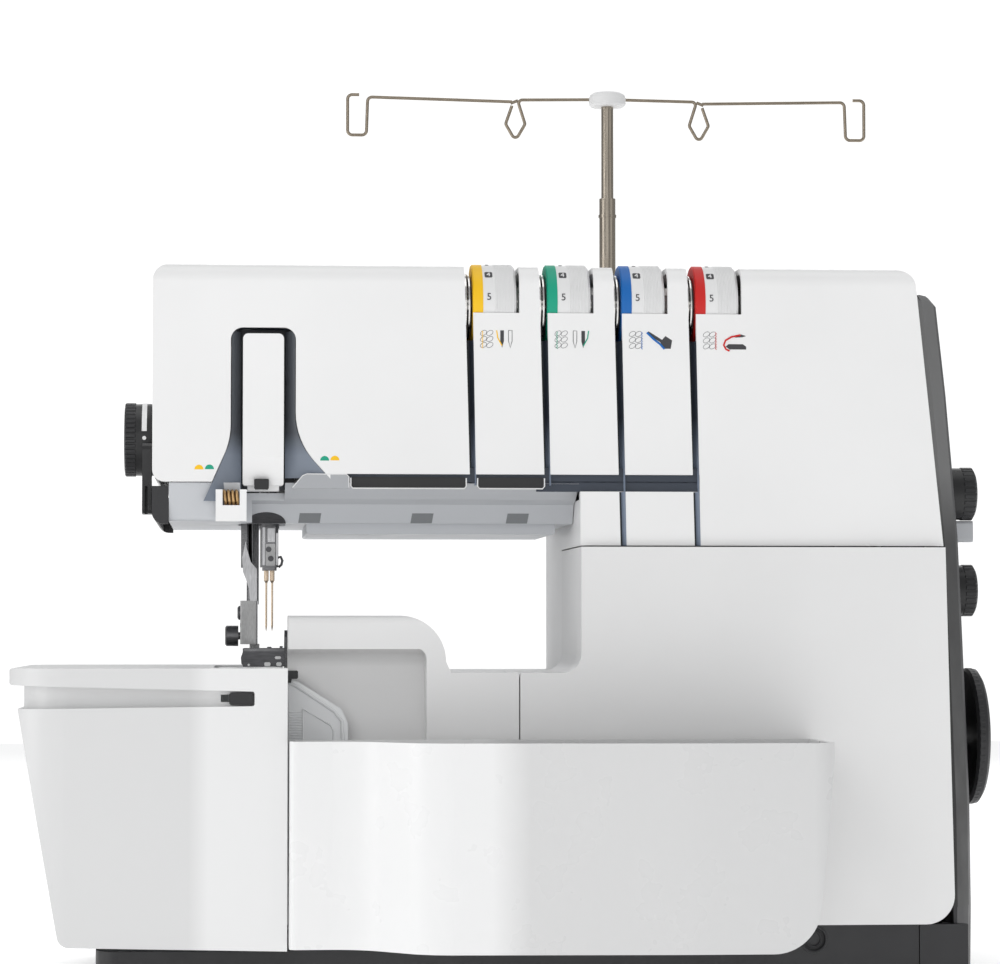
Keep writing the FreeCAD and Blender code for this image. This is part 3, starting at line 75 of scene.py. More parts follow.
class Shader:
    """A material's node tree with short calls for the nodes used here."""

    def __init__(self, name, roughness, metallic=0.0):
        self.material = bpy.data.materials.new(name)
        self.material.use_nodes = True
        self.tree = self.material.node_tree
        self.bsdf = self.tree.nodes["Principled BSDF"]
        self.bsdf.inputs["Roughness"].default_value = roughness
        self.bsdf.inputs["Metallic"].default_value = metallic
        self.place = self.tree.nodes.new("ShaderNodeTexCoord").outputs["Object"]

    def link(self, out, socket):
        self.tree.links.new(out, socket)

    def stretched(self, scale):
        mapping = self.tree.nodes.new("ShaderNodeMapping")
        mapping.inputs["Scale"].default_value = scale
        self.link(self.place, mapping.inputs["Vector"])
        return mapping.outputs["Vector"]

    def noise(self, scale, detail=3.0, stretch=(1.0, 1.0, 1.0)):
        node = self.tree.nodes.new("ShaderNodeTexNoise")
        node.inputs["Scale"].default_value = scale
        node.inputs["Detail"].default_value = detail
        self.link(self.stretched(stretch), node.inputs["Vector"])
        return node.outputs["Fac"]

    def ramp(self, fac, first, second):
        """Goes from one colour to another as fac rises."""
        node = self.tree.nodes.new("ShaderNodeValToRGB")
        node.color_ramp.elements[0].position = RAMP_START
        node.color_ramp.elements[0].color = (*first, 1)
        node.color_ramp.elements[1].position = RAMP_END
        node.color_ramp.elements[1].color = (*second, 1)
        self.link(fac, node.inputs["Fac"])
        return node.outputs["Color"]

    def colour(self, fac, first, second):
        self.link(self.ramp(fac, first, second), self.bsdf.inputs["Base Color"])

    def rough(self, fac, first, second):
        self.link(self.ramp(fac, grey(first), grey(second)), self.bsdf.inputs["Roughness"])

    def bump(self, fac, strength, distance):
        node = self.tree.nodes.new("ShaderNodeBump")
        node.inputs["Strength"].default_value = strength
        node.inputs["Distance"].default_value = distance
        self.link(fac, node.inputs["Height"])
        self.link(node.outputs["Normal"], self.bsdf.inputs["Normal"])

    def uneven_gloss(self, roughness):
        """Moulded plastic's slight change of gloss from place to place."""
        self.rough(self.noise(60.0, 3.0), roughness - 0.04, roughness + 0.05)

    def coat(self, weight):
        self.bsdf.inputs["Coat Weight"].default_value = weight
        self.bsdf.inputs["Coat Roughness"].default_value = 0.25


def tint(colour, factor):
    return tuple(min(1.0, channel * factor) for channel in colour)


def moulded(name, colour, roughness, grain=1400.0, strength=0.12, spread=0.015, coat=0.0):
    """Moulded plastic: faint mottling, fine spark-eroded grain, uneven gloss."""
    shader = Shader(name, roughness)
    shader.colour(shader.noise(14.0, 4.0), tint(colour, 1 - spread), tint(colour, 1 + spread))
    shader.uneven_gloss(roughness)
    shader.bump(shader.noise(grain, 2.0), strength, GRAIN_DEPTH)
    shader.coat(coat)
    return shader.material


def fading(name, axis, low_end, high_end, low_colour, high_colour, roughness=0.42, coat=0.0):
    """Moulded plastic whose colour changes along one axis, over a stretch given in millimetres; every use
    here paints light and shade into the colour.
    """
    shader = Shader(name, roughness)
    split = shader.tree.nodes.new("ShaderNodeSeparateXYZ")
    shader.link(shader.place, split.inputs["Vector"])
    span = shader.tree.nodes.new("ShaderNodeMapRange")
    span.interpolation_type = "SMOOTHSTEP"
    span.inputs["From Min"].default_value = low_end * MM
    span.inputs["From Max"].default_value = high_end * MM
    shader.link(split.outputs[axis], span.inputs["Value"])
    shader.colour(span.outputs["Result"], low_colour, high_colour)
    shader.uneven_gloss(roughness)
    shader.bump(shader.noise(1400.0, 2.0), 0.10, GRAIN_DEPTH)
    shader.coat(coat)
    return shader.material


def metal(name, colour, roughness, stretch=(1.0, 1.0, 1.0), scale=300.0, spread=0.12, strength=0.2):
    """Metal with fine lines along one direction and slight smudges."""
    shader = Shader(name, roughness, 1.0)
    shader.colour(shader.noise(scale, 3.0, stretch), tint(colour, 1 - spread), tint(colour, 1 + spread))
    shader.rough(shader.noise(90.0, 4.0), roughness - 0.07, roughness + 0.1)
    shader.bump(shader.noise(scale * 2, 2.0, stretch), strength, BRUSH_DEPTH)
    return shader.material


MATERIALS = {
    "white_shell": moulded("white_shell", (0.87, 0.868, 0.866), 0.36, coat=0.12),
    "panel_white": moulded("panel_white", (0.815, 0.813, 0.811), 0.38, coat=0.10),
    "tray_white": moulded("tray_white", (0.80, 0.80, 0.80), 0.30, strength=0.06, coat=0.25),
    "under_grey": moulded("under_grey", (0.56, 0.575, 0.60), 0.42),
    "slate": moulded("slate", (0.035, 0.045, 0.065), 0.40),
    "dark_plastic": moulded("dark_plastic", (0.021, 0.021, 0.023), 0.45, 900.0, 0.35, 0.10),
    "black_plastic": moulded("black_plastic", (0.014, 0.014, 0.015), 0.38, 1100.0, 0.25, 0.12),
    "clear_white": moulded("clear_white", (0.86, 0.87, 0.88), 0.22, coat=0.3),
    "dial_white": moulded("dial_white", (0.80, 0.80, 0.80), 0.40),
    "rubber": moulded("rubber", (0.02, 0.02, 0.02), 0.75, 700.0, 0.4, 0.15),
    "cast_alloy": metal("cast_alloy", (0.50, 0.51, 0.52), 0.55, scale=500.0, strength=0.5),
    "steel": metal("steel", (0.58, 0.58, 0.58), 0.28, (1.0, 12.0, 12.0)),
    "bright_steel": metal("bright_steel", (0.74, 0.73, 0.71), 0.16, (6.0, 6.0, 1.0), strength=0.05),
    "dark_steel": metal("dark_steel", (0.15, 0.15, 0.155), 0.34, (1.0, 1.0, 6.0)),
    "pole_metal": metal("pole_metal", (0.34, 0.30, 0.25), 0.22, (1.0, 1.0, 0.05), 900.0, 0.10, 0.05),
    "bronze": metal("bronze", (0.55, 0.36, 0.17), 0.32, (8.0, 1.0, 1.0)),
}


def dress(obj, material):
    """Gives a new piece its material."""
    obj.data.materials.clear()
    obj.data.materials.append(material)
    return obj


WIRE_METAL = metal("wire_metal", (0.30, 0.255, 0.20), 0.22, (1.0, 6.0, 6.0), strength=0.05)
NEEDLE_METAL = metal("needle_metal", (0.62, 0.50, 0.38), 0.22, (6.0, 6.0, 1.0), strength=0.05)
# Painted highlight and shade: the tray front is painted lighter at its left end and darker to the right, and
# the extension table darker at its left end, for the fall of light across them.
TRAY_PAINTED_SHADE = fading("tray_painted_shade", "X", -45.0, 30.0, grey(0.85), grey(0.67), 0.30, 0.25)
TABLE_PAINTED_SHADE = fading("table_painted_shade", "X", -150.0, -112.0, grey(0.70), grey(0.82), 0.34, 0.15)
OWN_PAINT = {"guide_wires": WIRE_METAL, "needles": NEEDLE_METAL, "waste_tray": TRAY_PAINTED_SHADE,
             "extension_table": TABLE_PAINTED_SHADE}


def paint_frame():
    """Each CAD node gets the material of its slot, or its own variant of it."""
    for part in frame["record"]["subparts"]:
        node = NODES[part["node"]]
        material = OWN_PAINT.get(part["node"], MATERIALS[part["material_slot"]])
        if not node.data.materials:
            node.data.materials.append(material)
        for place in node.material_slots:
            place.material = material


paint_frame()

# ---- camera, light and floor ----------------------------------------------------------------
CAMERA_AZIMUTH = math.radians(4.5)      # the camera stands a little to the left
CAMERA_PITCH = math.radians(2.46)       # and looks slightly up
CAMERA_PLACE = (-0.1192, -1.4954, 0.146)
CAMERA_LENS = 124.2


def make_camera():
    data = bpy.data.cameras.new("camera")
    data.lens = CAMERA_LENS
    data.sensor_width = 36.0
    data.clip_start = 0.05
    data.clip_end = 50.0
    camera = bpy.data.objects.new("camera", data)
    camera.location = CAMERA_PLACE
    camera.rotation_euler = (math.pi / 2 + CAMERA_PITCH, 0.0, -CAMERA_AZIMUTH)
    bpy.context.scene.collection.objects.link(camera)
    bpy.context.scene.camera = camera


def area_light(name, place, aim_height, size, power):
    """White rectangular light that looks at a point above the frame's origin."""
    data = bpy.data.lights.new(name, "AREA")
    data.shape = "RECTANGLE"
    data.size, data.size_y = size
    data.energy = power
    light = bpy.data.objects.new(name, data)
    light.location = place
    aim = Vector((0.0, 0.0, aim_height)) - Vector(place)
    light.rotation_euler = aim.to_track_quat("-Z", "Y").to_euler()
    bpy.context.scene.collection.objects.link(light)


WORLD_LIGHT = 0.44       # what the surroundings give the machine
BACKDROP_LIGHT = 1.1     # what the camera sees behind it
FLOOR_REACH = 3.0
FLOOR_GLOW = 0.5


def make_world():
    """Pale surroundings: one strength lights the machine, another is seen behind it."""
    world = bpy.data.worlds.new("world")
    world.use_nodes = True
    tree = world.node_tree
    background = tree.nodes["Background"]
    background.inputs["Color"].default_value = (0.98, 0.99, 1.0, 1)
    background.inputs["Strength"].default_value = WORLD_LIGHT
    backdrop = tree.nodes.new("ShaderNodeBackground")
    backdrop.inputs["Color"].default_value = (1.0, 1.0, 1.0, 1)
    backdrop.inputs["Strength"].default_value = BACKDROP_LIGHT
    mix = tree.nodes.new("ShaderNodeMixShader")
    path = tree.nodes.new("ShaderNodeLightPath")
    tree.links.new(path.outputs["Is Camera Ray"], mix.inputs["Fac"])
    tree.links.new(background.outputs["Background"], mix.inputs[1])
    tree.links.new(backdrop.outputs["Background"], mix.inputs[2])
    tree.links.new(mix.outputs["Shader"], tree.nodes["World Output"].inputs["Surface"])
    bpy.context.scene.world = world


def make_floor():
    mesh = bpy.data.meshes.new("floor")
    corners = [(x * FLOOR_REACH, y * FLOOR_REACH, 0) for x, y in ((-1, -1), (1, -1), (1, 1), (-1, 1))]
    mesh.from_pydata(corners, [], [(0, 1, 2, 3)])
    floor = bpy.data.objects.new("floor", mesh)
    bpy.context.scene.collection.objects.link(floor)
    shader = Shader("floor_paper", 0.7)
    shader.colour(shader.noise(6.0), grey(0.90), grey(0.92))
    shader.bsdf.inputs["Emission Color"].default_value = (1.0, 1.0, 1.0, 1.0)
    shader.bsdf.inputs["Emission Strength"].default_value = FLOOR_GLOW
    mesh.materials.append(shader.material)


bpy.context.scene.view_settings.view_transform = "Standard"
make_camera()
make_world()
make_floor()
area_light("key_left", (-1.5, -1.6, 1.5), 0.15, (1.2, 1.6), 9.0)
area_light("fill_right", (1.7, -1.3, 1.0), 0.15, (1.0, 1.6), 2.6)
area_light("top", (0.0, 0.1, 2.0), 0.1, (1.8, 1.4), 8.0)
area_light("fill_front", (-0.3, -2.2, 0.5), 0.15, (1.4, 1.2), 3.6)
area_light("fill_left", (-1.9, -0.6, 0.27), 0.15, (1.0, 0.9), 5.5)
area_light("back", (0.3, 1.9, 1.2), 0.2, (1.8, 1.2), 8.0)

# ---- building pieces -------------------------------------------------------------------------
SHIFT = 3.5      # the drawing's own zero lies this far right of the frame's origin, mm


def spot(plane, a, b, along):
    """Point (a, b) of a plane at a distance along its normal, in the drawing's millimetres."""
    if plane == "xz":
        return Vector((a, along, b))
    if plane == "yz":
        return Vector((along, a, b))
    return Vector((a, b, along))


def prism(bm, plane, points, start, end):
    """Closed outline pushed from start to end along the plane's normal."""
    first = [bm.verts.new(spot(plane, a, b, start)) for a, b in points]
    last = [bm.verts.new(spot(plane, a, b, end)) for a, b in points]
    skirt(bm, first, last)


def around(a, b, radius, sides):
    """Points of a regular outline round (a, b)."""
    turns = [2 * math.pi * i / sides for i in range(sides)]
    return [(a + radius * math.cos(turn), b + radius * math.sin(turn)) for turn in turns]


def skirt(bm, front, back):
    """Closes a thin plate: its front face, its back face and the band between them."""
    bm.faces.new(front)
    bm.faces.new(back[::-1])
    count = len(front)
    for i in range(count):
        j = (i + 1) % count
        bm.faces.new((front[j], front[i], back[i], back[j]))


def block(bm, x0, x1, y0, y1, z0, z1, cut=0.3):
    """Box with its four long corners cut off along the depth."""
    points = [(x0 + cut, z0), (x1 - cut, z0), (x1, z0 + cut), (x1, z1 - cut),
              (x1 - cut, z1), (x0 + cut, z1), (x0, z1 - cut), (x0, z0 + cut)]
    prism(bm, "xz", points, y0, y1)


def turned(bm, a, b, profile, steps=64, radius_at=None, spread=(0.0, 360.0)):
    """Profile of (x, radius) points swept round an axis along X; ribs come from radius_at."""
    closed = spread[1] - spread[0] >= 360.0
    count = steps if closed else steps + 1
    rings = []
    for x, radius in profile:
        ring = []
        for i in range(count):
            angle = math.radians(spread[0] + (spread[1] - spread[0]) * i / steps)
            reach = radius + (radius_at(i) if radius_at else 0.0)
            ring.append(bm.verts.new((x, a - reach * math.cos(angle), b + reach * math.sin(angle))))
        rings.append(ring)
    rings.append(rings[0])
    for near, far in zip(rings, rings[1:]):
        for i in range(steps):
            j = (i + 1) % count
            bm.faces.new((near[i], near[j], far[j], far[i]))
    if not closed:
        bm.faces.new([ring[0] for ring in rings[:-1]])
        bm.faces.new([ring[-1] for ring in rings[:-1]][::-1])


def tube(bm, points, radius, sides=8):
    """Round wire through the points."""
    points = [Vector(point) for point in points]
    rings = []
    for i, point in enumerate(points):
        ahead = points[min(i + 1, len(points) - 1)] - points[max(i - 1, 0)]
        side = ahead.cross(Vector((0, 1, 0)))
        if side.length < 1e-6:
            side = Vector((1, 0, 0))
        side.normalize()
        other = ahead.cross(side).normalized()
        ring = []
        for k in range(sides):
            angle = 2 * math.pi * k / sides
            ring.append(bm.verts.new(point + radius * (math.cos(angle) * side + math.sin(angle) * other)))
        rings.append(ring)
    for near, far in zip(rings, rings[1:]):
        for k in range(sides):
            j = (k + 1) % sides
            bm.faces.new((near[k], near[j], far[j], far[k]))
    bm.faces.new(rings[0][::-1])
    bm.faces.new(rings[-1])


def piece(name, body, material, bm, smooth=True):
    """Turns the geometry into a piece that rides on a CAD body."""
    bmesh.ops.recalc_face_normals(bm, faces=bm.faces)
    for vert in bm.verts:
        vert.co = (vert.co + Vector((SHIFT, 0, 0))) * MM
    mesh = bpy.data.meshes.new(name)
    bm.to_mesh(mesh)
    bm.free()
    obj = bpy.data.objects.new(name, mesh)
    bpy.context.scene.collection.objects.link(obj)
    if smooth:
        mesh.shade_smooth()
        mesh.set_sharp_from_angle(angle=math.radians(35))
    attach(obj, body)
    return dress(obj, material)


FONT_RATIO = 1.4         # font size for one unit of a digit's height


def lettering(bm, text, height, place, turn):
    """Adds a thin raised character; turn maps its flat outline to the surface."""
    curve = bpy.data.curves.new("letter", "FONT")
    curve.body = text
    curve.size = height * FONT_RATIO
    curve.align_x = "CENTER"
    curve.align_y = "CENTER"
    curve.extrude = 0.06
    curve.resolution_u = 3
    letter = bpy.data.objects.new("letter", curve)
    mesh = bpy.data.meshes.new_from_object(letter)
    mesh.transform(Matrix.Translation(place) @ turn)
    bm.from_mesh(mesh)
    bpy.data.objects.remove(letter)
    bpy.data.curves.remove(curve)
    bpy.data.meshes.remove(mesh)


# ---- tension dials ----------------------------------------------------------------------------
DIAL_Y = -59.4
DIAL_Z = 281.2
DIAL_RADIUS = 17.5
FIRST_DIAL = -22.0       # left face of the first dial
DIAL_PITCH = 30.9
SET_DIGIT = 4            # the digit that faces the operator
SET_ANGLE = 44.5         # where it stands above the front, degrees
DIGIT_STEP = 36.0
GRIP_GROOVES = 13
GROOVE_PITCH = 0.62
DIAL_COLOURS = {
    "yellow": (0.95, 0.56, 0.004),
    "green": (0.0, 0.36, 0.22),
    "blue": (0.0, 0.130, 0.46),
    "red": (0.60, 0.008, 0.006),
}
INK = moulded("ink_dark", (0.045, 0.045, 0.05), 0.5)
INK_GREY = moulded("ink_grey", (0.13, 0.13, 0.14), 0.5)
INK_WHITE = moulded("ink_white", (0.85, 0.85, 0.85), 0.45)
DIAL_PAINT = {}
for colour_name, rgb in DIAL_COLOURS.items():
    DIAL_PAINT[colour_name] = moulded("dial_" + colour_name, rgb, 0.5, spread=0.03)


def dial_left(number):
    return FIRST_DIAL + DIAL_PITCH * number


def on_dial(angle, reach, x):
    """Where a mark at an angle above the front sits, and how its outline is turned to lie there."""
    turn = Matrix.Rotation(math.radians(90.0 - angle), 4, "X")
    place = Vector((x, DIAL_Y - reach * math.cos(math.radians(angle)),
                    DIAL_Z + reach * math.sin(math.radians(angle))))
    return place, turn


def dial_band(name, left, radius):
    """Coloured ring at the dial's left end."""
    bm = bmesh.new()
    profile = [(left - 0.25, 12.0), (left - 0.25, radius - 0.5), (left + 0.25, radius + 0.12),
               (left + 4.0, radius + 0.12), (left + 4.1, radius - 0.3), (left + 0.5, 12.0)]
    turned(bm, DIAL_Y, DIAL_Z, profile, 128)
    piece("dial_band_" + name, "dial_" + name, DIAL_PAINT[name], bm)


def dial_grip(name, left, radius):
    """Ring-grooved right half of the dial."""
    bm = bmesh.new()
    start = left + 8.8
    profile = [(start, radius - 0.6)]
    for groove in range(GRIP_GROOVES):
        x = start + GROOVE_PITCH * groove
        profile += [(x + 0.02, radius - 0.04), (x + 0.12, radius + 0.22), (x + 0.46, radius + 0.22),
                    (x + 0.56, radius - 0.04)]
    turned(bm, DIAL_Y, DIAL_Z, profile + [(left + 17.2, radius - 0.6)], 96)
    piece("dial_grip_" + name, "dial_" + name, MATERIALS["dial_white"], bm, smooth=False)


def set_plate(bm, plate):
    """Dark plate with cut corners under the set digit."""
    corners = [(-1.6, -1.2), (-1.2, -1.65), (1.2, -1.65), (1.6, -1.2),
               (1.6, 1.2), (1.2, 1.65), (-1.2, 1.65), (-1.6, 1.2)]
    base = [bm.verts.new(plate @ Vector((a, b, -0.12))) for a, b in corners]
    cap = [bm.verts.new(plate @ Vector((a, b, 0.06))) for a, b in corners]
    skirt(bm, cap, base)


def dial_digits(name, left, radius):
    """Digits round the dial: dark ones, and the set one white on its plate."""
    bm = bmesh.new()
    white = bmesh.new()
    for digit in range(10):
        angle = SET_ANGLE + DIGIT_STEP * (SET_DIGIT - digit)
        place, turn = on_dial(angle, radius + 0.05, left + 6.5)
        if digit == SET_DIGIT:
            set_plate(bm, Matrix.Translation(place) @ turn)
            place, turn = on_dial(angle, radius + 0.10, left + 6.5)
            lettering(white, str(digit), 2.4, place, turn)
        else:
            lettering(bm, str(digit), 3.0, place, turn)
    piece("dial_numbers_" + name, "dial_" + name, INK, bm, smooth=False)
    piece("dial_set_number_" + name, "dial_" + name, INK_WHITE, white, smooth=False)


for dial_number, dial_name in enumerate(DIAL_COLOURS):
    dial_band(dial_name, dial_left(dial_number), DIAL_RADIUS)
    dial_grip(dial_name, dial_left(dial_number), DIAL_RADIUS)
    dial_digits(dial_name, dial_left(dial_number), DIAL_RADIUS)


# ---- printed marks on the front cover -----------------------------------------------------------
FACE = -77.0             # y of the front cover's face
PRINT_BACK = FACE + 0.1  # printed shapes reach this far into the cover
MARK_HALF_WIDTH = 1.85
MARK_HEIGHT = 1.9
SIGN_LEFT = -19.2        # first stitch sign, below the first dial
SIGN_PITCH = 30.95
SIGN_TOP = 270.0


def stroke(bm, points, width=0.22):
    """Flat printed line just proud of the front face."""
    tube(bm, [(x, FACE, z) for x, z in points], width / 2, 6)


def stitch_column(bm, x, z):
    """Three stacked thread loops as a simple sign for the stitch."""
    for row in range(3):
        base = z - 2.5 * row
        for side in (0.0, 2.6):
            points = []
            for i in range(13):
                turn = 2 * math.pi * i / 12
                points.append((x + side + 1.3 + 1.25 * math.cos(turn) + 0.5 * math.sin(turn),
                               base - 1.2 + 1.1 * math.sin(turn)))
            stroke(bm, points, 0.2)


def needle_sign(bm, x, z, filled):
    outline = [(x - 0.75, z), (x + 0.75, z), (x + 0.75, z - 4.4), (x, z - 7.2), (x - 0.75, z - 4.4)]
    if filled:
        prism(bm, "xz", outline, FACE - 0.06, PRINT_BACK)
    else:
        stroke(bm, outline + outline[:1], 0.25)


def print_marks():
    """Small signs below the dials: stitch loops, needles, a looper and a hook, with coloured threads."""
    dark = bmesh.new()
    soft = bmesh.new()
    tinted = {name: bmesh.new() for name in DIAL_COLOURS}
    for number, name in enumerate(DIAL_COLOURS):
        x = SIGN_LEFT + SIGN_PITCH * number
        stitch_column(soft, x, SIGN_TOP)
        zigzag_x = x + 0.6 if number < 2 else x + 5.0
        zigzag = [(zigzag_x + 0.5 * (i % 2), SIGN_TOP - 0.4 - 0.55 * i) for i in range(14)]
        stroke(tinted[name], zigzag, 0.34)
    for number, name in ((0, "yellow"), (1, "green")):
        x = dial_left(number)
        filled_x = x + 11.8 if number == 0 else x + 14.6
        open_x = x + 15.2 if number == 0 else x + 11.2
        needle_sign(dark, filled_x, 269.9, True)
        needle_sign(dark, open_x, 269.9, False)
        side = -1.5 if number == 0 else 1.5
        stroke(tinted[name], [(filled_x + side * 1.5, 269.9), (filled_x + side * 1.2, 266.8),
                              (filled_x + side * 0.4, 264.6), (filled_x, 263.6)], 0.5)
    looper = [(50.2, 269.4), (51.0, 268.4), (55.6, 265.4), (57.6, 262.7), (60.0, 262.7),
              (60.6, 266.2), (57.8, 268.0), (56.4, 266.4), (50.8, 269.9)]
    prism(dark, "xz", looper, FACE - 0.05, PRINT_BACK)
    stroke(tinted["blue"], [(50.1, 269.4), (53.0, 266.6), (55.6, 264.6), (57.4, 262.6)], 0.9)
    hook = [(84.2, 264.8), (90.2, 264.8), (91.6, 263.8), (91.6, 262.6), (84.6, 262.6), (83.0, 263.8)]
    prism(dark, "xz", hook, FACE - 0.05, PRINT_BACK)
    prism(dark, "xz", [(89.4, 268.9), (91.6, 268.2), (90.0, 267.7), (86.8, 267.5)], FACE - 0.05, PRINT_BACK)
    stroke(tinted["red"], [(89.2, 268.6), (85.4, 267.8), (83.0, 266.4), (82.2, 264.4), (83.2, 262.6),
                           (84.6, 262.0)], 0.8)
    piece("sign_outlines", "machine", INK, dark, smooth=False)
    piece("sign_loops", "machine", INK_GREY, soft)
    for name, bm in tinted.items():
        piece("sign_thread_" + name, "machine", DIAL_PAINT[name], bm)


def half_disc(name, x, z, colour):
    """Coloured mark that shows where a needle's thread goes."""
    bm = bmesh.new()
    turns = [math.pi * i / 16 for i in range(17)]
    points = [(x + MARK_HALF_WIDTH * math.cos(turn), z + MARK_HEIGHT * math.sin(turn)) for turn in turns]
    prism(bm, "xz", points, FACE - 0.05, PRINT_BACK)
    piece(name, "machine", DIAL_PAINT[colour], bm, smooth=False)


print_marks()
half_disc("needle_mark_left_yellow", -134.9, 211.9, "yellow")
half_disc("needle_mark_left_green", -130.6, 212.0, "green")
half_disc("needle_mark_right_green", -83.4, 215.7, "green")
half_disc("needle_mark_right_yellow", -79.2, 215.8, "yellow")


# ---- knobs ------------------------------------------------------------------------------------
PRESSURE_Y = -20.0
PRESSURE_Z = 227.0
SCALE_X = -158.3         # middle of the white scale line
SIDE_KNOB_Y = -10.0
WHEEL_Y = -8.0
WHEEL_Z = 100.0


def rib_ring(name, body, y, z, start, end, radius, ribs, depth):
    """Ring of grip ribs round a knob."""
    bm = bmesh.new()
    profile = [(start, radius - 1.0), (start, radius - 0.1), (start + 0.5, radius + depth),
               (end - 0.8, radius + depth), (end, radius - 0.9)]
    turned(bm, y, z, profile, ribs * 6, lambda i: 0.0 if i % 6 in (1, 2, 3, 4) else -depth * 1.3)
    piece(name, body, MATERIALS["dark_plastic"], bm, smooth=False)


rib_ring("pressure_knob_ribs", "foot_pressure_knob", PRESSURE_Y, PRESSURE_Z, -166.6, -161.4, 15.25, 44, 0.40)
rib_ring("upper_knob_ribs", "differential_knob", SIDE_KNOB_Y, 205.4, 195.2, 201.2, 11.1, 26, 0.45)
rib_ring("lower_knob_ribs", "stitch_length_knob", SIDE_KNOB_Y, 163.3, 195.6, 201.2, 10.8, 26, 0.45)


def pressure_scale():
    """White wedge shaped scale line round the pressure knob, with a dot at the set value."""
    bm = bmesh.new()
    for first, last, wide in ((11.0, 150.0, 2.1), (-150.0, -11.0, 1.2)):
        left = SCALE_X - wide / 2
        right = SCALE_X + wide / 2
        profile = [(left, 15.30), (left, 15.55), (right, 15.55), (right, 15.30)]
        turned(bm, PRESSURE_Y, PRESSURE_Z, profile, 40, None, (first, last))
    dot_y = PRESSURE_Y - 15.5
    prism(bm, "xz", around(SCALE_X, PRESSURE_Z, 0.85, 16), dot_y, dot_y + 0.5)
    piece("pressure_knob_scale", "foot_pressure_knob", INK_WHITE, bm)


pressure_scale()


def wheel_grip():
    """Shallow ribs round the inner half of the handwheel's rim."""
    bm = bmesh.new()
    turned(bm, WHEEL_Y, WHEEL_Z, [(197.6, 28.0), (198.2, 29.55), (200.4, 29.55), (200.8, 28.0)], 240,
           lambda i: 0.0 if i % 4 in (1, 2) else -0.3)
    piece("handwheel_ribs", "handwheel_shaft", MATERIALS["dark_plastic"], bm, smooth=False)


wheel_grip()


# ---- arm: take-up window, coil guides, lamps, thread channel --------------------------------------
LEAN = Vector((0, 5.5, -7.8)).normalized()         # down the arm's slanted under panel
OUTWARD = Vector((0, -7.8, -5.5)).normalized()     # straight out of it
LAMP = moulded("lamp_smoke", (0.22, 0.23, 0.24), 0.35)
TAB_GREY = moulded("tab_grey", (0.40, 0.41, 0.43), 0.32)
COIL_TURNS = 4
COIL_STEPS = 36          # points in one turn
COIL_RADIUS = 2.9


def slanted_plate(bm, points, proud, deep):
    """Thin plate on the under panel, standing a little proud of it."""
    outer = [bm.verts.new(point + OUTWARD * proud) for point in points]
    inner = [bm.verts.new(point - OUTWARD * deep) for point in points]
    skirt(bm, outer, inner)


def take_up_window():
    bm = bmesh.new()
    block(bm, -112.25, -106.25, -76.6, -71.6, 203.85, 208.15, 0.5)
    piece("take_up_window", "machine", MATERIALS["black_plastic"], bm, smooth=False)


def coil_guide():
    """Row of thread coils as one helix, with a dark plate behind it."""
    bm = bmesh.new()
    points = []
    steps = COIL_TURNS * COIL_STEPS
    for i in range(steps + 1):
        turn = 2 * math.pi * i / COIL_STEPS
        points.append((-125.0 + 6.6 * i / steps, -79.0 + COIL_RADIUS * math.cos(turn),
                       200.2 + COIL_RADIUS * math.sin(turn)))
    tube(bm, points, 0.62, 8)
    piece("coil_guide_springs", "machine", MATERIALS["bronze"], bm)
    bm = bmesh.new()
    block(bm, -125.1, -118.3, -76.4, -75.2, 197.0, 203.0, 0.4)
    piece("coil_guide_back", "machine", MATERIALS["dark_steel"], bm, smooth=False)


def lamp_windows():
    """Three smoked windows in the arm's under panel."""
    bm = bmesh.new()
    corners = [Vector((0.6, 0, 0)), Vector((9.6, 0, 0)), Vector((9.0, 0, 0)) + LEAN * 4.9, LEAN * 4.9]
    for left in (-93.6, -46.5, -6.3):
        start = Vector((left, -52.0, 198.6)) + LEAN * 4.4
        slanted_plate(bm, [start + corner for corner in corners], 0.12, 0.4)
    piece("lamp_windows", "machine", LAMP, bm, smooth=False)


def channel_tab():
    """Grey tab at the thread channel's left end."""
    bm = bmesh.new()
    tab = [(-97.0, 204.3), (-73.6, 204.3), (-73.6, 209.2), (-74.6, 210.0), (-90.6, 210.2), (-92.6, 209.4)]
    prism(bm, "xz", tab, -76.95, -74.4)
    piece("thread_channel_tab", "machine", TAB_GREY, bm, smooth=False)


def channel_rims():
    """Pale edges of the tab and of the channel's two openings, and their dark insets."""
    bm = bmesh.new()
    tab_edge = [(-96.6, 204.5), (-92.4, 209.5), (-90.6, 210.2), (-74.4, 210.1), (-73.4, 209.0),
                (-73.4, 204.6)]
    tube(bm, [(x, -76.9, z) for x, z in tab_edge], 0.22, 6)
    for left, right in ((-72.6, -25.0), (-20.3, 7.4)):
        frame_line = [(left, 208.7), (left, 205.3), (left + 0.8, 204.4), (right - 0.8, 204.4),
                      (right, 205.3), (right, 208.7)]
        tube(bm, [(x, -76.7, z) for x, z in frame_line], 0.28, 6)
    piece("thread_channel_rims", "machine", MATERIALS["tray_white"], bm)
    bm = bmesh.new()
    for left, right in ((-72.4, -25.2), (-20.1, 7.2)):
        block(bm, left, right, -75.6, -74.4, 204.6, 209.0, 0.6)
    piece("thread_channel_insets", "machine", MATERIALS["black_plastic"], bm, smooth=False)


take_up_window()
coil_guide()
lamp_windows()
channel_tab()
channel_rims()


# ---- looper cover: catch, ribbed insert -----------------------------------------------------------
COVER_SLOPE = (11.6 - 1.2) / 65.0        # how far the chute leans back for each mm of height
CHUTE_FOOT = 62.0


def cover_catch():
    bm = bmesh.new()
    prism(bm, "xz", [(-98.1, 129.4), (-94.4, 129.4), (-94.0, 129.0), (-94.0, 126.4), (-94.5, 126.0),
                     (-96.6, 126.0), (-96.9, 124.4), (-98.1, 124.4)], -72.0, -66.5)
    piece("cover_catch", "front_door", MATERIALS["black_plastic"], bm, smooth=False)


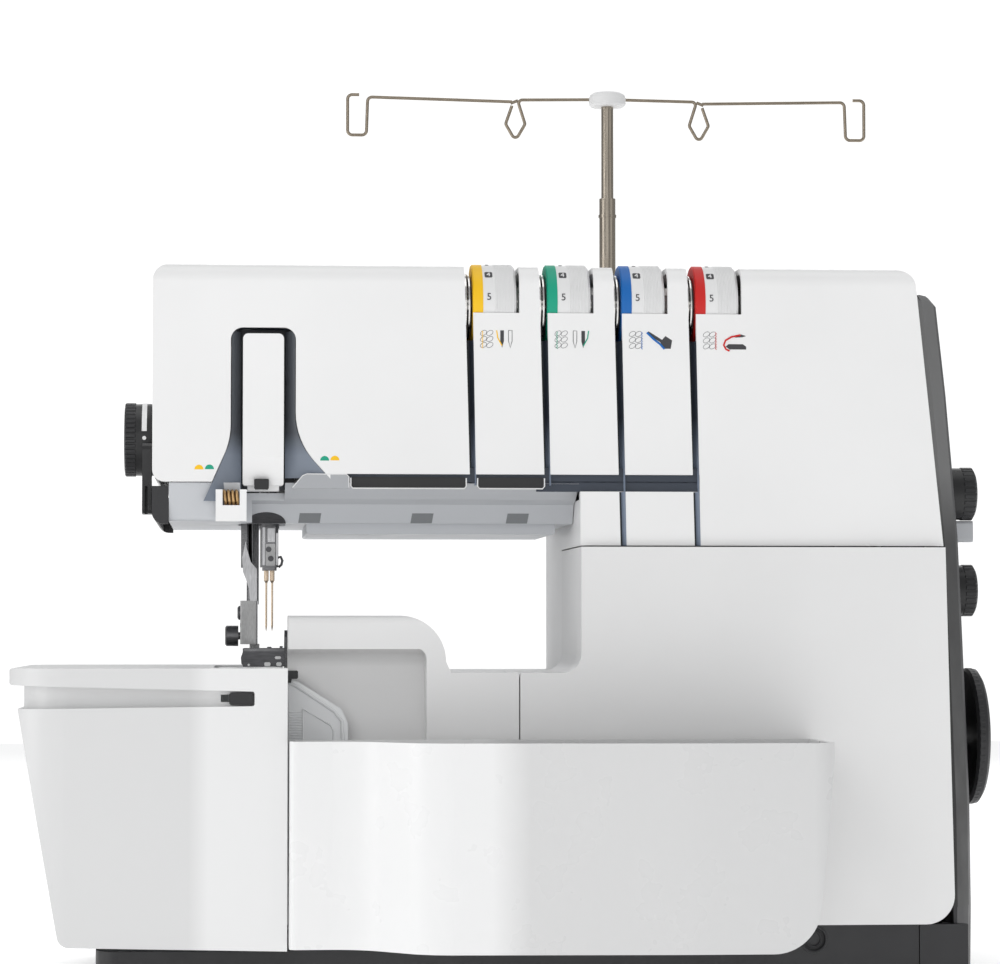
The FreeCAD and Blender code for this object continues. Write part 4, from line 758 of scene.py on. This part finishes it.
def insert_ribs():
    bm = bmesh.new()
    for i in range(11):
        z = 101.6 + 1.05 * i
        y = -81.0 + 1.2 + COVER_SLOPE * (z - CHUTE_FOOT)
        rib = [(y + 0.3, z), (y - 0.35, z + 0.12), (y - 0.35, z + 0.45), (y + 0.3, z + 0.6)]
        prism(bm, "yz", rib, -97.6, -92.2)
    piece("insert_ribs", "front_door", MATERIALS["clear_white"], bm, smooth=False)


def insert_frame():
    """Rounded rims of the clear insert, which lean with the chute."""
    bm = bmesh.new()
    line = [(-97.6, 124.4), (-94.0, 122.6), (-79.0, 112.6), (-76.0, 108.6), (-75.6, 100.0), (-75.6, 64.0)]
    tube(bm, [(x, -80.0 + COVER_SLOPE * (z - CHUTE_FOOT), z) for x, z in line], 0.7, 8)
    inner = [(-92.0, 64.0), (-92.0, 113.6), (-80.6, 107.0), (-79.4, 104.6), (-79.4, 64.0)]
    tube(bm, [(x, -79.8 + COVER_SLOPE * (z - CHUTE_FOOT), z) for x, z in inner], 0.45, 8)
    piece("insert_frame", "front_door", MATERIALS["clear_white"], bm)


cover_catch()
insert_ribs()
insert_frame()


# ---- base ring, back vents ------------------------------------------------------------------------
VENT_ROWS = 7
VENT_PITCH = 7.0


def base_screw_ring():
    """Two rings round the screw recess in the base."""
    bm = bmesh.new()
    for i in range(2):
        reach = 5.3 - 2.0 * i
        points = []
        for k in range(33):
            turn = 2 * math.pi * k / 32
            points.append((119.2 + reach * math.cos(turn), -76.1 + 0.9 * i, 18.4 + reach * math.sin(turn)))
        tube(bm, points, 0.55 - 0.1 * i, 8)
    piece("base_screw_ring", "machine", MATERIALS["dark_plastic"], bm)


def rear_vents():
    bm = bmesh.new()
    for row in range(VENT_ROWS):
        z = 60.0 + VENT_PITCH * row
        slot = [(70.0, z), (71.5, z - 1.2), (128.5, z - 1.2), (130.0, z), (128.5, z + 1.2), (71.5, z + 1.2)]
        prism(bm, "xz", slot, 77.9, 78.12)
    piece("rear_vents", "machine", MATERIALS["black_plastic"], bm, smooth=False)


base_screw_ring()
rear_vents()


# ---- linings of the slots, painted with light and shade ---------------------------------------
# Painted shade: a darker copy of the slate for the floors of the slots and the back of the take-up slot.
SLATE_PAINTED_SHADE = moulded("slate_painted_shade", (0.016, 0.020, 0.028), 0.4)
# Painted light: the slots' right walls in slate, painted lighter as lit, lighter low down and darker towards
# the top.
SLATE_WALL_PAINTED_LIGHT = fading("slate_wall_painted_light", "Z", 180.0, 270.0, (0.26, 0.31, 0.40), (0.05, 0.06, 0.08))
# Painted light and shade: the take-up slot's flared sides in slate, painted lighter low down and darker
# towards the top.
SLATE_FLARE_PAINTED_LIGHT = fading("slate_flare_painted_light", "Z", 199.0, 246.0, (0.19, 0.22, 0.27), (0.065, 0.072, 0.084))
# Painted light: the end cover's dark front band, painted lighter towards the top.
END_FACE_PAINTED_LIGHT = fading("end_face_painted_light", "Z", 120.0, 275.0, grey(0.024), grey(0.15), 0.45)
SLOT_LEAN = 0.026        # how far the thread slots lean to the left for each mm of height


def ribbon(bm, rows, back):
    """Strip through rows of points, closed by a second strip a little further back."""
    front = [[bm.verts.new(Vector(point)) for point in row] for row in rows]
    rear = [[bm.verts.new(Vector(point) + Vector(back)) for point in row] for row in rows]
    for sheet in (front, rear):
        for near, far in zip(sheet, sheet[1:]):
            for i in range(len(near) - 1):
                bm.faces.new((near[i], near[i + 1], far[i + 1], far[i]))
    for side in (0, -1):
        for i in range(len(rows) - 1):
            bm.faces.new((front[i][side], front[i + 1][side], rear[i + 1][side], rear[i][side]))
    for end in (0, -1):
        for i in range(len(rows[0]) - 1):
            bm.faces.new((front[end][i], front[end][i + 1], rear[end][i + 1], rear[end][i]))


def slot_left(number, z):
    return -25.4 + DIAL_PITCH * number + (DIAL_Z - z) * SLOT_LEAN


def slot_width(number, z):
    """The slots narrow downwards; the two long ones keep a least width."""
    wide = 3.25 - 0.75 * (282.0 - z) / 77.0
    return max(wide, 2.45) if number > 1 else wide


def slot_linings():
    """Slate floors painted darker as shade and slate right walls painted lighter as lit, inside the four
    thread slots.
    """
    deep = bmesh.new()
    wall = bmesh.new()
    for number in range(4):
        # each stretch of a slot: its top, its bottom and how deep its floor lies
        levels = [(266.0, 205.8, -71.8)]
        if number > 1:
            levels = [(266.0, 203.2, -71.8), (203.2, 181.0, -74.65)]
        for top, bottom, floor in levels:
            dark_rows = []
            wall_rows = []
            for i in range(5):
                z = top + (bottom - top) * i / 4
                left = slot_left(number, z)
                wide = slot_width(number, z)
                bend = left + 0.42 * wide
                dark_rows.append([(left - 0.1, floor - 0.2, z), (bend, floor, z)])
                wall_rows.append([(bend, floor, z), (left + 0.75 * wide, floor - 1.0, z),
                                  (left + wide + 0.05, -76.5, z)])
            ribbon(deep, dark_rows, (0.0, 0.8, 0.0))
            ribbon(wall, wall_rows, (0.25, 0.8, 0.0))
    piece("thread_slot_floors", "machine", SLATE_PAINTED_SHADE, deep, smooth=False)
    piece("thread_slot_walls", "machine", SLATE_WALL_PAINTED_LIGHT, wall)
    bm = bmesh.new()
    block(bm, 4.2, 72.4, -74.4, -72.6, 203.3, 207.6, 0.2)
    piece("thread_channel_strip", "machine", MATERIALS["slate"], bm, smooth=False)


def bend_points(first, middle, last, steps=8):
    """Points of a smooth bend from first to last that pulls towards middle."""
    points = []
    for i in range(steps + 1):
        t = i / steps
        points.append(tuple((1 - t) ** 2 * a + 2 * t * (1 - t) * b + t * t * c
                            for a, b, c in zip(first, middle, last)))
    return points


def flare_line(side):
    """Edge of the take-up slot in the front face, as (x, z) from the top down."""
    if side == "left":
        bend = bend_points((-121.7, 230.4), (-121.7, 224.0), (-124.4, 218.2))
        return [(-121.7, 269.0)] + bend + [(-128.4, 208.9), (-133.0, 199.0)]
    bend = bend_points((-95.6, 235.6), (-95.6, 224.0), (-87.8, 215.6))
    return [(-95.6, 269.0)] + bend + [(-84.6, 212.0), (-81.6, 208.6)]


def take_up_lining():
    """Flared slate sides painted lighter low down and darker higher up, and a back painted dark as shade, in
    the take-up slot.
    """
    bm = bmesh.new()
    for side, inner in (("left", -117.6), ("right", -99.6)):
        rows = []
        for x, z in flare_line(side):
            reach = inner - x
            rows.append([(x + reach * t, -76.4 + 5.2 * t ** 1.4, z) for t in (0.0, 0.2, 0.45, 0.7, 1.0)])
        ribbon(bm, rows, (0.0, 0.8, 0.0))
    piece("take_up_slot_flares", "machine", SLATE_FLARE_PAINTED_LIGHT, bm)
    # the back of the slot, in slate painted dark as shade
    bm = bmesh.new()
    block(bm, -121.6, -95.7, -66.2, -65.0, 204.0, 270.2, 1.0)
    piece("take_up_slot_back", "machine", SLATE_PAINTED_SHADE, bm, smooth=False)


def end_cover_face():
    """Front band of the end cover: its dark face painted lighter towards the top, a painted highlight where
    it catches the light.
    """
    # height, left edge and right edge of the band
    levels = [(31.0, 178.1, 189.4), (73.0, 177.3, 189.0), (142.0, 175.8, 186.4), (185.0, 174.6, 184.6),
              (216.0, 171.8, 182.2), (246.0, 169.1, 179.7), (283.0, 165.7, 175.7), (286.4, 165.4, 172.8)]
    rows = [[(left - 1.4, -74.3, z), (reach - 9.4, -74.35, z), (reach - 2.1, -62.4, z)]
            for z, left, reach in levels]
    bm = bmesh.new()
    ribbon(bm, rows, (-0.2, 0.7, 0.0))
    piece("end_cover_face", "machine", END_FACE_PAINTED_LIGHT, bm)


slot_linings()
take_up_lining()
end_cover_face()

# ---- needle and presser parts -------------------------------------------------------------------
CLAMP_METAL = metal("clamp_metal", (0.17, 0.17, 0.175), 0.30, (1.0, 8.0, 8.0), strength=0.15)
SHANK_METAL = metal("shank_metal", (0.40, 0.40, 0.40), 0.42, (6.0, 6.0, 1.0), 500.0, 0.10, 0.4)
LEAF_METAL = metal("leaf_metal", (0.45, 0.45, 0.46), 0.30, (8.0, 8.0, 1.0), strength=0.05)
BLUED_METAL = metal("blued_metal", (0.10, 0.10, 0.105), 0.32, (1.0, 6.0, 6.0), strength=0.2)


def bevelled(bm, x0, x1, y0, y1, z0, z1, cut):
    """Box whose upright edges are cut, seen from above."""
    points = [(x0 + cut, y0), (x1 - cut, y0), (x1, y0 + cut), (x1, y1 - cut), (x1 - cut, y1),
              (x0 + cut, y1), (x0, y1 - cut), (x0, y0 + cut)]
    prism(bm, "xy", points, z0, z1)


def upright(bm, x, y, radius, z0, z1, sides=24):
    """Standing rod."""
    prism(bm, "xy", around(x, y, radius, sides), z0, z1)


def presser_parts():
    """Presser bar with its guard leaf, and the foot shank with its bright edge."""
    bm = bmesh.new()
    bevelled(bm, -117.4, -114.2, -21.5, -16.0, 172.6, 205.0, 0.6)
    upright(bm, -112.3, -15.0, 2.6, 157.0, 284.0)
    upright(bm, -112.4, -18.6, 0.9, 172.0, 203.0, 12)
    piece("presser_bar_looks", "presser_bar_set", CLAMP_METAL, bm)
    bm = bmesh.new()
    leaf = [(-116.9, 177.0), (-116.5, 170.8), (-115.2, 167.6), (-114.0, 163.8), (-113.4, 158.4),
            (-110.6, 158.4), (-110.6, 172.0), (-113.2, 175.0), (-115.0, 181.0), (-115.4, 184.0)]
    prism(bm, "xz", leaf, -22.6, -21.9)
    piece("presser_guard_leaf", "presser_bar_set", LEAF_METAL, bm, smooth=False)
    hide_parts("presser_bar")
    bm = bmesh.new()
    bevelled(bm, -117.6, -110.4, -22.0, -8.0, 140.0, 158.6, 0.5)
    bevelled(bm, -113.6, -109.4, -17.6, -12.4, 134.9, 140.2, 0.3)
    shank = piece("foot_shank_looks", "presser_bar_set", SHANK_METAL, bm, smooth=False)
    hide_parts("foot_shank")
    bm = bmesh.new()
    bevelled(bm, -110.55, -110.15, -22.3, -8.4, 140.2, 158.4, 0.1)
    piece("foot_shank_edge", "presser_bar_set", LEAF_METAL, bm, smooth=False)


def clamp_parts():
    """Needle clamp with its pale rails, its face plate, two set screws and a thread hook."""
    bm = bmesh.new()
    bevelled(bm, -109.3, -101.7, -36.2, -24.8, 172.6, 189.6, 1.2)
    bevelled(bm, -108.4, -102.4, -36.4, -25.0, 171.2, 172.8, 0.8)
    upright(bm, -105.5, -30.0, 4.2, 189.0, 192.5)
    clamp = piece("needle_clamp_looks", "needle_bar_set", CLAMP_METAL, bm)
    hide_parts("needle_clamp")
    bm = bmesh.new()
    block(bm, -108.4, -107.3, -36.9, -36.0, 173.4, 189.4, 0.2)
    block(bm, -102.7, -101.9, -36.9, -36.0, 173.4, 187.0, 0.2)
    block(bm, -106.3, -103.2, -36.7, -36.0, 183.2, 189.0, 0.2)
    piece("needle_clamp_rails", "needle_bar_set", LEAF_METAL, bm, smooth=False)
    bm = bmesh.new()
    block(bm, -107.0, -103.0, -36.65, -36.0, 173.2, 182.4, 0.3)
    piece("needle_clamp_face", "needle_bar_set", SHANK_METAL, bm, smooth=False)
    bm = bmesh.new()
    for x, z in ((-105.8, 180.1), (-104.9, 176.2)):
        prism(bm, "xz", around(x, z, 1.2, 24), -36.85, -36.3)
    tube(bm, [(-101.8, -35.0, 176.6), (-100.7, -35.0, 177.0), (-100.0, -35.0, 175.4), (-100.4, -35.0, 173.6),
              (-101.6, -35.0, 172.6)], 0.55)
    piece("needle_set_screws", "needle_bar_set", BLUED_METAL, bm)


INSET_BACK = -45.0       # the thin plates on the foot's bridge stand forward from here
INSET_FRONT = -45.5


def foot_parts():
    """Two soles, the bridge across their front with its raised edge, and pale insets for its openings."""
    bm = bmesh.new()
    sole = [(-9.5, 132.1), (-11.5, 130.7), (-44.0, 130.7), (-44.0, 133.0), (-9.5, 132.9)]
    for x0, x1 in ((-116.5, -107.9), (-102.6, -99.9)):
        prism(bm, "yz", sole, x0, x1)
    front = [(-116.0, 138.6), (-117.4, 134.6), (-117.2, 132.0), (-116.2, 130.8), (-98.9, 130.8),
             (-98.9, 138.6), (-99.9, 138.6), (-99.9, 139.4), (-101.2, 139.4), (-101.2, 138.6),
             (-104.6, 138.6), (-104.6, 139.1), (-106.4, 139.1), (-106.4, 138.6)]
    prism(bm, "xz", front, -45.2, -43.8)
    prism(bm, "yz", [(-10.0, 131.5), (-44.0, 131.5), (-40.0, 138.3), (-10.5, 138.3)], -116.5, -114.6)
    foot = piece("presser_foot_looks", "foot", BLUED_METAL, bm, smooth=False)
    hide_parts("presser_foot")
    bm = bmesh.new()
    block(bm, -116.2, -99.2, INSET_FRONT, INSET_BACK, 137.2, 138.3, 0.3)
    piece("presser_foot_edge", "foot", CLAMP_METAL, bm, smooth=False)
    bm = bmesh.new()
    for x0, x1, z0, z1 in ((-103.2, -100.6, 133.9, 135.1), (-107.6, -105.0, 131.0, 132.6),
                           (-102.6, -100.4, 131.0, 132.6), (-114.6, -113.6, 131.0, 132.0)):
        block(bm, x0, x1, INSET_FRONT, INSET_BACK, z0, z1, 0.4)
    piece("presser_foot_openings", "foot", MATERIALS["tray_white"], bm, smooth=False)


def bar_hole():
    """Dark plate on the arm's underside where the two bars come out: painted shade standing in for the
    shaded inside of the hole.
    """
    base = Vector((-107.0, -46.5, 190.8))
    turns = [math.pi * i / 24 for i in range(25)]
    rim = [base + Vector((8.2 * math.cos(turn), 0, 0)) - LEAN * 5.6 * math.sin(turn) for turn in turns]
    bm = bmesh.new()
    slanted_plate(bm, rim, 0.25, 0.6)
    # painted shade: a dark plate where the hole's inside lies in shade
    piece("needle_bar_mouth", "machine", BLUED_METAL, bm, smooth=False)


presser_parts()
clamp_parts()
foot_parts()
bar_hole()


def table_latch():
    """Finger grip of the table's latch."""
    right = high("table_latch").x - SHIFT
    front = low("table_latch").y
    bm = bmesh.new()
    block(bm, right - 9.8, right, front, front + 5.0, low("table_latch").z, high("table_latch").z, 0.6)
    grip = piece("table_latch_looks", "latch", MATERIALS["black_plastic"], bm, smooth=False)
    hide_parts("table_latch")


table_latch()
